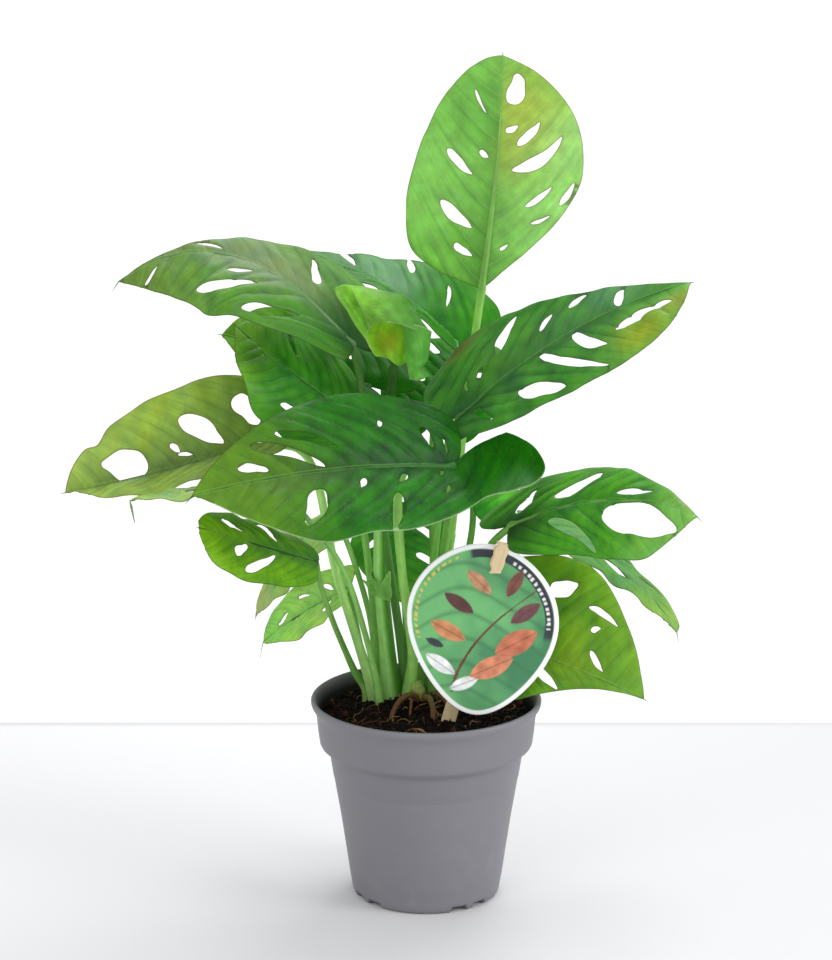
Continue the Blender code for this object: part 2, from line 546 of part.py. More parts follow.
def build_label():
    """Plain printed card, rounded like a drop, with a slot that the wooden stick passes through."""
    foot, top = Vector(STICK_FOOT), Vector(STICK_TOP)
    stick_matrix = frame(STICK_FOOT, top - foot)
    length = (top - foot).length
    stick = box("label_stick", (STICK_WIDTH, STICK_THICK, length), stick_matrix @ Matrix.Translation((0, 0, length / 2 * MM)),
                color=(.62, .43, .24), roughness=.7)
    mod = modify(stick, "BEVEL", width=.35 * MM, segments=1)
    mod.limit_method = "ANGLE"
    curve = bpy.data.curves.new("label_card", "CURVE")
    curve.dimensions = "2D"
    curve.fill_mode = "BOTH"
    curve.extrude = CARD_THICK / 2 * MM
    spline = curve.splines.new("POLY")
    n = 40
    spline.points.add(n - 1)
    for i in range(n):
        a = 2 * math.pi * i / n
        wide = CARD_WIDTH / 2 * math.sin(a) * (1 + .16 * math.cos(a) - .05 * math.cos(2 * a))
        tall = CARD_HEIGHT / 2 * math.cos(a) * (1 + .05 * math.cos(a) ** 2) - 2 * math.sin(a)
        spline.points[i].co = (wide * MM, tall * .955 * MM, 0, 1)
    spline.use_cyclic_u = True
    card = bpy.data.objects.new("label_card", curve)
    parts.objects.link(card)
    card.matrix_world = (Matrix.Translation(Vector(CARD_CENTRE) * MM) @ Matrix.Rotation(math.radians(90), 4, "X")
                         @ Matrix.Rotation(CARD_LEAN, 4, "Z"))
    bpy.context.view_layer.update()
    card = baked(card)
    card.data.materials.clear()
    card.data.materials.append(material("label_card_material", (.09, .2, .075), .45))
    size = (STICK_WIDTH + 2 * GAP, STICK_THICK + 2 * GAP, 34)
    cut(card, box("slot", size, stick_matrix @ Matrix.Translation((0, 0, (length - 16) * MM)), to=cutters))
    card = baked(card)
    return stick_matrix


GREENS = {
    "leaf_top": (.16, .40, .045), "leaf_upper_right": (.04, .19, .022), "leaf_right": (.06, .25, .02),
    "leaf_lower_right": (.13, .32, .02), "leaf_right_back": (.08, .24, .035), "leaf_front": (.03, .15, .02),
    "leaf_left": (.14, .26, .03), "leaf_left_low": (.1, .18, .05), "leaf_upper_left": (.1, .2, .055),
    "leaf_back_top": (.05, .22, .035), "leaf_lower_left": (.07, .2, .012), "leaf_low_left": (.13, .33, .05),
}
DEEP_GREEN = (.03, .14, .02)
YOUNG_GREEN = (.2, .46, .04)


def main():
    start()
    build_pot()
    feet = []
    for name, spec in LEAVES.items():
        build_leaf(name, spec, GREENS.get(name, DEEP_GREEN))
        x, y = spec["stalk"][0]
        feet.append((x, y, spec["girth"][0] + GAP))
    build_leaf("main_shoot", YOUNG_LEAF, YOUNG_GREEN)
    feet.append((*YOUNG_LEAF["stalk"][0], YOUNG_LEAF["girth"][0] + GAP))
    stub = tube("old_stem_stub", [(-3, 1, STEM_FOOT_Z), (-3, 1, 100), (-3.4, .6, 108), (-4.6, 0, 113)], [3.4, 3.4, 3.0, 2.2], 8)
    stub.data.materials.append(material("old_stem_stub_material", (.16, .09, .045), .8))
    feet.append((-3, 1, 3.4 + GAP))
    stick_matrix = build_label()
    build_soil(feet, stick_matrix)
    for ob in list(cutters.objects):
        ob.hide_render = True


main()
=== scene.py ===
import json
import math

import bpy
import numpy as np
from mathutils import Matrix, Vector
from mathutils.geometry import delaunay_2d_cdt


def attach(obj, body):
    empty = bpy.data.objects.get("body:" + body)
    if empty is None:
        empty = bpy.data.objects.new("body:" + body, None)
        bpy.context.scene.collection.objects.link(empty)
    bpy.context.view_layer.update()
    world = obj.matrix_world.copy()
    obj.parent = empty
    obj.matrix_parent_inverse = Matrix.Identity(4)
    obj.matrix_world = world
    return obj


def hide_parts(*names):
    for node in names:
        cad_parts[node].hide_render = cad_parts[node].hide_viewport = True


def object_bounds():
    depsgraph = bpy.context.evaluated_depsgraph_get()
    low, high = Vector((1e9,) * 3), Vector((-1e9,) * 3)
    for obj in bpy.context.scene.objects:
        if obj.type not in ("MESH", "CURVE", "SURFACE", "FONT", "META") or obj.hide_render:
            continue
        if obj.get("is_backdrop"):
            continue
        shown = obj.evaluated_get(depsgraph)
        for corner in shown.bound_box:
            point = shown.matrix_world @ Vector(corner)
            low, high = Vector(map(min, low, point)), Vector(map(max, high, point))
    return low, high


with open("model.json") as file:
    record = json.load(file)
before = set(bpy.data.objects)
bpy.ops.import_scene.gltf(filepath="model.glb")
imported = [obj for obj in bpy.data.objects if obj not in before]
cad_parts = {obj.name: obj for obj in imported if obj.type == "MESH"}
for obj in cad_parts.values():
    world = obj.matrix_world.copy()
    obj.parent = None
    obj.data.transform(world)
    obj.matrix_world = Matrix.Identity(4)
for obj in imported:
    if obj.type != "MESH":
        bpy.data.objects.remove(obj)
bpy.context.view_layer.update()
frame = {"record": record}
MM = 0.001


# Nursery pot: thin moulded grey polypropylene with a stepped band, a rolled lip and a faint line under
# the band. It stands on its foot ring, which has four pairs of drain notches.
def paint(red, green, blue):
    """A colour as seen on a screen, 0 to 255, turned into the linear light that a shader takes."""
    c = np.array([red, green, blue], float) / 255
    return np.where(c < .04045, c / 12.92, ((c + .055) / 1.055) ** 2.4)


def mixed(a, b, share):
    """The mix a (1 - share) + b share of two colours, or of lists of them."""
    return a * (1 - share) + b * share


def skin(name, points, faces, layers=()):
    """Put points in mm and faces of one size into a smooth mesh, with its named values on the points."""
    points = np.asarray(points, np.float32) * MM
    faces = np.asarray(faces, np.int32)
    mesh = bpy.data.meshes.new(name)
    mesh.vertices.add(len(points))
    mesh.vertices.foreach_set("co", points.ravel())
    mesh.loops.add(faces.size)
    mesh.loops.foreach_set("vertex_index", faces.ravel())
    mesh.polygons.add(len(faces))
    mesh.polygons.foreach_set("loop_start", np.arange(0, faces.size, faces.shape[1], dtype=np.int32))
    mesh.update(calc_edges=True)
    for key, values in dict(layers).items():
        values = np.asarray(values, np.float32)
        kind, slot = "FLOAT", "value"
        if values.ndim == 2:
            kind, slot = "FLOAT_COLOR", "color"
            values = np.hstack([values, np.ones((len(values), 1), np.float32)])
        mesh.attributes.new(key, kind, "POINT").data.foreach_set(slot, values.ravel())
    mesh.shade_smooth()
    piece = bpy.data.objects.new(name, mesh)
    bpy.context.scene.collection.objects.link(piece)
    return piece


def round_angles(steps):
    """Even steps of a full turn, in radians."""
    return np.arange(steps) / steps * 2 * math.pi


def ring_faces(rows, columns):
    """Three-cornered faces from each ring of points to the next, then from the first and the last ring to
    the two end points, which are numbered after all the rings."""
    i = np.arange(rows - 1)[:, None] * columns
    j = np.arange(columns)
    k = (j + 1) % columns
    quad = np.stack([i + j, i + k, i + columns + k, i + columns + j], -1).reshape(-1, 4)
    first_end, last_ring = 0 * j + rows * columns, (rows - 1) * columns
    ends = [np.stack([first_end, k, j], -1), np.stack([first_end + 1, last_ring + j, last_ring + k], -1)]
    return np.vstack([quad[:, [0, 1, 2]], quad[:, [0, 2, 3]]] + ends)


def place(tree, kind, sockets=(), **settings):
    """Add a node to a tree, with its settings, and give its inputs plain values or links."""
    node = tree.nodes.new(kind)
    for key, value in settings.items():
        setattr(node, key, value)
    for key, value in dict(sockets).items():
        if isinstance(value, bpy.types.NodeSocket):
            tree.links.new(value, node.inputs[key])
        else:
            node.inputs[key].default_value = value
    return node


def feed(node, **links):
    """Link values to a node's inputs, in whose names an underscore stands for a space."""
    for key, value in links.items():
        node.id_data.links.new(value, node.inputs[key.replace("_", " ")])


def maths(tree, operation, a, b=0.0, clamp=False):
    """The outcome of one sum on two values, kept within 0 and 1 on request."""
    return place(tree, "ShaderNodeMath", {0: a, 1: b}, operation=operation, use_clamp=clamp).outputs[0]


def times(tree, a, b):
    """The product of two values."""
    return maths(tree, "MULTIPLY", a, b)


def plus(tree, a, b):
    """The sum of two values."""
    return maths(tree, "ADD", a, b)


def less(tree, a, b, clamp=False):
    """The difference of two values."""
    return maths(tree, "SUBTRACT", a, b, clamp)


def near_zero(tree, value, reach):
    """1 where the value is 0, falling evenly to 0 where it comes to the reach."""
    return less(tree, 1.0, maths(tree, "DIVIDE", value, reach, True), True)


def blend_colour(tree, factor, a, b, how="MIX"):
    """Two colours blended by a factor; a plain one is given as three numbers."""
    a, b = ((*c, 1) if isinstance(c, (tuple, np.ndarray)) else c for c in (a, b))
    node = place(tree, "ShaderNodeMix", {0: factor, 6: a, 7: b}, data_type="RGBA", blend_type=how)
    return node.outputs[2]


def levelled(tree, colour, level):
    """A colour made lighter or darker: each of its three parts times the level."""
    grey = place(tree, "ShaderNodeCombineColor", {0: level, 1: level, 2: level}).outputs[0]
    return blend_colour(tree, 1.0, colour, grey, "MULTIPLY")


def layer(tree, name, output="Fac"):
    """The named value that a piece's points carry."""
    return place(tree, "ShaderNodeAttribute", attribute_name=name).outputs[output]


def on_object(tree):
    """The place on the object, in metres."""
    return place(tree, "ShaderNodeTexCoord").outputs["Object"]


def finish_of(name, roughness, specular):
    """A new material, its tree and its Principled shader, whose constants are set on its own sockets."""
    made = bpy.data.materials.new(name)
    made.use_nodes = True
    shader = made.node_tree.nodes["Principled BSDF"]
    shader.inputs["Roughness"].default_value = roughness
    shader.inputs["Specular IOR Level"].default_value = specular
    return made, made.node_tree, shader


def shared_effect(name, inputs, outputs):
    """A new node group with named sockets, and its input and output nodes."""
    group = bpy.data.node_groups.new(name, "ShaderNodeTree")
    for key, (kind, value) in inputs.items():
        group.interface.new_socket(key, in_out="INPUT", socket_type=kind).default_value = value
    for key, kind in outputs.items():
        group.interface.new_socket(key, in_out="OUTPUT", socket_type=kind)
    return group, group.nodes.new("NodeGroupInput"), group.nodes.new("NodeGroupOutput")


NUMBER, TINT, ARROW = "NodeSocketFloat", "NodeSocketColor", "NodeSocketVector"

# Fine grain that every finish but the leaves' shares: a colour broken up by two sizes of noise, and the
# height of the finer one for a bump.
fine_grain, grain_in, grain_out = shared_effect(
    "fine_grain", {"Colour": (TINT, (1, 1, 1, 1)), "Place": (ARROW, (0, 0, 0)),
                   "Size": (NUMBER, 300.0), "Amount": (NUMBER, .1)},
    {"Colour": TINT, "Height": NUMBER, "Broad": NUMBER})
given = grain_in.outputs
small, broad = (
    place(fine_grain, "ShaderNodeTexNoise",
          {"Vector": given["Place"], "Scale": size, "Detail": detail, "Roughness": fall}).outputs["Fac"]
    for size, detail, fall in ((given["Size"], 4.0, .6), (times(fine_grain, given["Size"], .12), 2.0, .5)))
swing = times(fine_grain, less(fine_grain, plus(fine_grain, small, broad), 1.0), given["Amount"])
level = plus(fine_grain, 1.0, times(fine_grain, swing, 2.0))
feed(grain_out, Colour=levelled(fine_grain, given["Colour"], level), Height=small, Broad=broad)


def raised(tree, shader, height, distance, strength):
    """Feed the shader's normal from a bump whose height is in parts of distance, in metres."""
    bump = place(tree, "ShaderNodeBump", {"Height": height, "Distance": distance, "Strength": strength})
    feed(shader, Normal=bump.outputs["Normal"])
    return bump.outputs["Normal"]


def grained_finish(name, roughness, specular, grain_size, amount, bump, strength, colour=None):
    """A material with the fine grain in its colour, a plain one or the points' tone, and in its bump."""
    made, tree, shader = finish_of(name, roughness, specular)
    colour = layer(tree, "tone", "Color") if colour is None else (*colour, 1)
    grain = place(tree, "ShaderNodeGroup", {"Colour": colour, "Place": on_object(tree), "Size": grain_size,
                                            "Amount": amount}, node_tree=fine_grain)
    feed(shader, Base_Color=grain.outputs["Colour"])
    raised(tree, shader, grain.outputs["Height"], bump, strength)
    return made, tree, shader, grain


def worn(piece, slot, material, *nodes):
    piece.data.materials.append(material)
    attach(piece, "root")
    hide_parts(*nodes)


# The wall's section as (radius, height) in mm: out along the floor, up inside, over the lip, down the band,
# the step and the wall, and back under the foot.
BASE_RADIUS, FLOOR, POT_STEPS, NOTCH_PAIRS = 38.0, 2.0, 300, 4
NOTCH_HEIGHT, NOTCH_HALF, NOTCH_ROUNDING = 3.2, 4.9, .7
INNER_ROWS, LIP_ROWS, FOOT_ROW, FOOT_HEIGHT, FOOT_INSIDE = 14, 17, 36, 3.7, 35
pot_profile = np.array([
    (0, FLOOR), (20, FLOOR), (34, FLOOR), (36.5, 3.6), (40.0, 22), (44.2, 48), (47.8, 70), (48.8, 77),
    (49.9, 78.3), (52.7, 80.6), (54.0, 82), (54.7, 89), (55.5, 99), (56.4, 102.2), (57.5, 104.9),
    (58.3, 105.9), (59.0, 106.0), (59.6, 105.6), (60.0, 104.8), (59.95, 103.6), (59.5, 102.2), (58.2, 100.4),
    (57.5, 98.4), (57.0, 96), (56.3, 88.5), (55.7, 84), (55.45, 82.4), (55.0, 81.5), (54.2, 80.8),
    (51.7, 78.7), (50.9, 77.9), (50.5, 77.0), (50.3, 76.0), (48.55, 64.55), (48.35, 64.2), (48.2, 63.9),
    (48.15, 63.3), (44.6, 42), (41.7, 22), (39.9, 9), (39.45, 7.2), (39.4, 6.6), (39.0, 4), (38.7, 2.4),
    (38.2, 1.0), (37.3, .25), (36.4, 0), (30, 0), (16, 0), (0, 0)])


def notch_lift(angle):
    """How far the foot's edge is raised at an angle: two short arches in each drain notch, in mm."""
    lift = np.zeros_like(angle)
    for i in range(NOTCH_PAIRS):
        for side in (-1, 1):
            middle = math.radians(-54 + 90 * i) + side * .165
            off = np.abs((angle - middle + math.pi) % (2 * math.pi) - math.pi) * BASE_RADIUS
            lift = np.maximum(lift, NOTCH_HEIGHT * np.clip((NOTCH_HALF - off) / NOTCH_ROUNDING, 0, 1))
    return lift


turn = round_angles(POT_STEPS)
ring_r, ring_z = (pot_profile[1:-1, i][:, None] + np.zeros(POT_STEPS) for i in (0, 1))
pot_rows = len(ring_r)
outer_foot = (np.arange(pot_rows) > FOOT_ROW)[:, None] & (ring_z < FOOT_HEIGHT) & (ring_r > FOOT_INSIDE)
ring_z = np.where(outer_foot, np.maximum(ring_z, notch_lift(turn)[None]), ring_z)
rings = np.stack([ring_r * np.cos(turn), ring_r * np.sin(turn), ring_z], -1).reshape(-1, 3)
# Painted shade inside the pot: the floor and inner wall are darkened fully up to about 3 mm under the lip and
# less towards it, the lip's top a little, the outside not at all.
inner_shade_share = np.clip((104.5 - pot_profile[:, 1]) / 3.5, .2, 1)
inner_shade_share[INNER_ROWS:LIP_ROWS], inner_shade_share[LIP_ROWS:] = .35, 0
painted_inner_shade = np.append(np.repeat(inner_shade_share[1:-1], POT_STEPS), [1, 0])
pot = skin("nursery_pot", np.vstack([rings, [(0, 0, FLOOR), (0, 0, 0)]]),
           ring_faces(pot_rows, POT_STEPS)[:, [0, 2, 1]], {"painted_inner_shade": painted_inner_shade})

POT_SPECULAR = .4
polypropylene, tree, shader, grain = grained_finish(
    "grey_polypropylene", .47, POT_SPECULAR, 900.0, .03, .00003, .5, paint(120, 119, 125))
height = place(tree, "ShaderNodeSeparateXYZ", {0: on_object(tree)}).outputs["Z"]
dust = maths(tree, "MULTIPLY", less(tree, grain.outputs["Broad"], .56, True), .9, True)
low_scuff = times(tree, dust, less(tree, 1.0, times(tree, height, 14.0), True))
scuffed = blend_colour(tree, low_scuff, grain.outputs["Colour"], paint(150, 146, 142))
# The inner wall's painted shade: a near-black brown mixed into the colour, and the shine cut by the same
# share.
inner_shade_amount = times(tree, layer(tree, "painted_inner_shade"), .9)
feed(shader, Base_Color=blend_colour(tree, inner_shade_amount, scuffed, paint(24, 21, 18)),
     Specular_IOR_Level=times(tree, POT_SPECULAR, less(tree, 1.0, inner_shade_amount)),
     Roughness=plus(tree, .42, times(tree, grain.outputs["Broad"], .12)))
worn(pot, "pot_plastic", polypropylene, "pot")


# Potting mix: dark peat with bark crumbs and plant fibres, mounded round the stems and a little below
# the pot's lip. The surface carries loose crumbs and thin curled fibres that lie in it.
def ripple(x, y, seed, size):
    """Smooth unevenness: the sum of six sine waves of about the given size, in random directions."""
    draw = np.random.default_rng(seed)
    total = np.zeros_like(x)
    for _ in range(6):
        angle, phase = draw.uniform(0, 2 * math.pi), draw.uniform(0, 2 * math.pi)
        wavelength = size * draw.uniform(.7, 1.5)
        total = total + np.sin((x * math.cos(angle) + y * math.sin(angle)) * 2 * math.pi / wavelength + phase)
    return total / 6


SOIL_LEVEL, MOUND, SOIL_REACH = 96.0, 7.8, 53.2


def soil_height(x, y):
    """The mound's height in mm: a low bell over the level edge, with lumps and crumbs that are calmer at the
    wall.
    """
    mound = SOIL_LEVEL + MOUND * np.exp(-(np.hypot(x + 8, y - 8) / 27) ** 2.4)
    lumps = 1.3 * ripple(x, y, 3, 19) + .8 * ripple(x, y, 4, 8) + .5 * ripple(x, y, 5, 3.4)
    return mound + lumps * np.clip((56 - np.hypot(x, y)) / 8, .35, 1)


SOIL_RINGS, SOIL_STEPS, SOIL_RADIUS, SOIL_FOOT = 90, 200, 54.6, 2.6
turn = round_angles(SOIL_STEPS)
reach = np.linspace(0, 1, SOIL_RINGS + 1)[1:] ** .9 * SOIL_RADIUS
sx, sy = reach[:, None] * np.cos(turn), reach[:, None] * np.sin(turn)
side_profile = np.array([(53.4, 85), (52.9, 83.5), (47.9, 77), (43.6, 50), (39.2, 24), (35.4, 4.6),
                         (33.6, SOIL_FOOT)])
side_r, side_z = side_profile[:, :1], side_profile[:, 1:]
side = np.stack([side_r * np.cos(turn), side_r * np.sin(turn), side_z + 0 * turn], -1)
soil_rings = np.vstack([np.stack([sx, sy, soil_height(sx, sy)], -1), side])
soil_top = float(soil_height(np.zeros(1), np.zeros(1))[0])
soil = skin("potting_soil", np.vstack([soil_rings.reshape(-1, 3), [(0, 0, soil_top), (0, 0, SOIL_FOOT)]]),
            ring_faces(len(soil_rings), SOIL_STEPS)[:, [0, 2, 1]])
peat, tree, shader, grain = grained_finish("peat", .95, .1, 520.0, .5, .0009, .9, paint(19, 13, 10))
specks = place(tree, "ShaderNodeTexVoronoi", {"Vector": on_object(tree), "Scale": 420.0})
dark = maths(tree, "LESS_THAN", specks.outputs["Distance"], .42)
feed(shader, Base_Color=blend_colour(tree, times(tree, dark, .7), grain.outputs["Colour"], paint(8, 6, 5)))
worn(soil, "potting_soil", peat, "soil")

# The crumbs are broken eight-sided lumps of bark and peat, some pale wood, pressed into the surface.
CRUMBS = 2600
draw = np.random.default_rng(11)
lump = np.array([(1, 0, 0), (-1, 0, 0), (0, 1, 0), (0, -1, 0), (0, 0, 1), (0, 0, -1)], float)
lump_faces = np.array([(0, 2, 4), (2, 1, 4), (1, 3, 4), (3, 0, 4),
                       (2, 0, 5), (1, 2, 5), (3, 1, 5), (0, 3, 5)])
radius = SOIL_REACH * np.sqrt(draw.random(CRUMBS))
angle = draw.random(CRUMBS) * 2 * math.pi
cx, cy = radius * np.cos(angle), radius * np.sin(angle)
size = np.clip(draw.gamma(2.0, .42, CRUMBS), .35, 2.6)
stretch = size[:, None] * draw.uniform(.55, 1.35, (CRUMBS, 3)) * (1, 1, .7)
corner = lump[None] * stretch[:, None] * draw.uniform(.75, 1.2, (CRUMBS, 6, 1))
spin = draw.normal(size=(CRUMBS, 4))
spin /= np.linalg.norm(spin, axis=1, keepdims=True)
w, axis = spin[:, None, :1], spin[:, None, 1:]
corner = corner + 2 * np.cross(axis, np.cross(axis, corner) + w * corner)
centre = np.stack([cx, cy, soil_height(cx, cy) + .15 * size], -1)
crumb_faces = (lump_faces[None] + 6 * np.arange(CRUMBS)[:, None, None]).reshape(-1, 3)
browns = np.array([paint(*tone) for tone in (
    (17, 12, 9), (31, 21, 15), (9, 7, 6), (56, 34, 21), (104, 72, 46))])
pick = draw.choice(5, CRUMBS, p=(.34, .3, .24, .09, .03))
crumbs = skin("soil_crumbs", (corner + centre[:, None]).reshape(-1, 3), crumb_faces,
              {"tone": np.repeat(browns[pick], 6, 0)})
crumbs.data.polygons.foreach_set("use_smooth", np.zeros(len(crumb_faces), bool))
bark = grained_finish("bark_crumbs", .92, .12, 1500.0, .4, .0003, .7)[0]
worn(crumbs, "potting_soil", bark, "soil")


def unit(v):
    """Each direction brought to length 1."""
    return v / np.linalg.norm(v, axis=-1, keepdims=True)


def sweep(path, radii, across, sides=10, shape=None):
    """Rings of radius r * shape(angle, row) round a path, turned so that angle 0 faces across x tangent, and
    closed with a point at each end. Returns points, faces, way along and angle."""
    path, radii = np.asarray(path, float), np.asarray(radii, float)
    tangent = unit(np.gradient(path, axis=0))
    up = unit(np.cross(np.broadcast_to(np.asarray(across, float), path.shape), tangent))
    out = np.cross(tangent, up)
    angle = round_angles(sides)
    form = np.ones((len(path), sides)) if shape is None else shape(angle[None], np.arange(len(path))[:, None])
    ring = up[:, None] * np.cos(angle)[None, :, None] + out[:, None] * np.sin(angle)[None, :, None]
    points = path[:, None] + ring * (radii[:, None] * form)[..., None]
    steps = np.concatenate([[0], np.cumsum(np.linalg.norm(np.diff(path, axis=0), axis=1))])
    along = np.append(np.repeat(steps, sides), [0, steps[-1]])
    angles = np.append(np.tile(angle, len(path)), [0, 0])
    points = np.vstack([points.reshape(-1, 3), path[:1], path[-1:]])
    return points, ring_faces(len(path), sides), along, angles


def smooth_path(points, steps):
    """Points of a Catmull-Rom curve through the given ones, in mm."""
    p = np.array(points, float)
    p = np.vstack([2 * p[0] - p[1], p, 2 * p[-1] - p[-2]])
    u = (np.arange(steps) / steps)[:, None]
    spans = [.5 * (2 * b + (c - a) * u + (2 * a - 5 * b + 4 * c - d) * u ** 2
                   + (3 * b - a - 3 * c + d) * u ** 3)
             for a, b, c, d in zip(p[:-3], p[1:-2], p[2:-1], p[3:])]
    return np.vstack(spans + [p[-2:-1]])


def joined(meshes):
    """Several (points, faces, layers) lists put one after another, as one."""
    offset, points, faces, layers = 0, [], [], {}
    for mesh_points, mesh_faces, mesh_layers in meshes:
        points.append(mesh_points)
        faces.append(mesh_faces + offset)
        offset += len(mesh_points)
        for key, values in mesh_layers.items():
            layers.setdefault(key, []).append(values)
    return np.vstack(points), np.vstack(faces), {key: np.concatenate(v) for key, v in layers.items()}


# The fibres are thin tapering strands that curl and arch a little over the surface.
FIBRES = 150
fibre_tones = [paint(84, 52, 33), paint(122, 84, 52), paint(60, 38, 27), paint(142, 112, 72)]
draw = np.random.default_rng(23)
strands = []
for _ in range(FIBRES):
    r, a = 52 * math.sqrt(draw.random()), draw.random() * 2 * math.pi
    heading, bend, length = draw.random() * 2 * math.pi, draw.normal(0, .1), draw.uniform(5, 17)
    s = np.linspace(-.5, .5, 9)
    turning = heading + bend * s * length + .5 * np.sin(s * 7 + a)
    x = r * math.cos(a) + np.cumsum(np.cos(turning)) * length / 9
    y = r * math.sin(a) + np.cumsum(np.sin(turning)) * length / 9
    keep = np.minimum(1, 53 / np.maximum(np.hypot(x, y), 1))
    x, y = x * keep, y * keep
    z = soil_height(x, y) + .1 + draw.uniform(.3, 2.0) * np.cos(s * math.pi)
    thick = draw.uniform(.14, .42) * (1.1 - np.abs(s) * 1.4)
    points, faces, *_ = sweep(np.stack([x, y, z], -1), thick, (0, 0, 1), 5)
    tone = fibre_tones[draw.integers(0, 4)]
    strands.append((points, faces, {"tone": np.tile(tone, (len(points), 1))}))
worn(skin("soil_fibres", *joined(strands)), "potting_soil", bark, "soil")


# Leaves: thin waxy blades with oval windows between the side veins, each grown as one with its stalk,
# which stands in the soil. A blade is worked out over (v, x), v along the midrib and x out to a margin.
def turned(d, a, b):
    """d carried by the smallest turn that takes the direction a to each direction b."""
    axis = np.cross(a, b)
    cos = (a * b).sum(-1, keepdims=True)
    return d * cos + np.cross(axis, d) + axis * (axis * d).sum(-1, keepdims=True) / (1 + cos)


def rolled(d, t, angle):
    """d turned about the unit axis t by an angle in radians."""
    return d * math.cos(angle) + np.cross(t, d) * math.sin(angle) + t * (t * d).sum() * (1 - math.cos(angle))


def fade(a, b, x):
    """0 up to a, 1 past b and a smooth step between them."""
    t = np.clip((x - a) / (b - a), 0, 1)
    return t * t * (3 - 2 * t)


def hill(distance, reach, power=2):
    """exp(-(distance / reach) ** power): 1 in the middle and soft at its foot."""
    return np.exp(-(distance / reach) ** power)


VEIN_SLANT, VEIN_STEP, VEIN_LEAST = .3, .098, .045


def vein_lean(r):
    """How far along v a side vein has run at the part r of the way to the margin."""
    return .2 * r + .26 * r * r


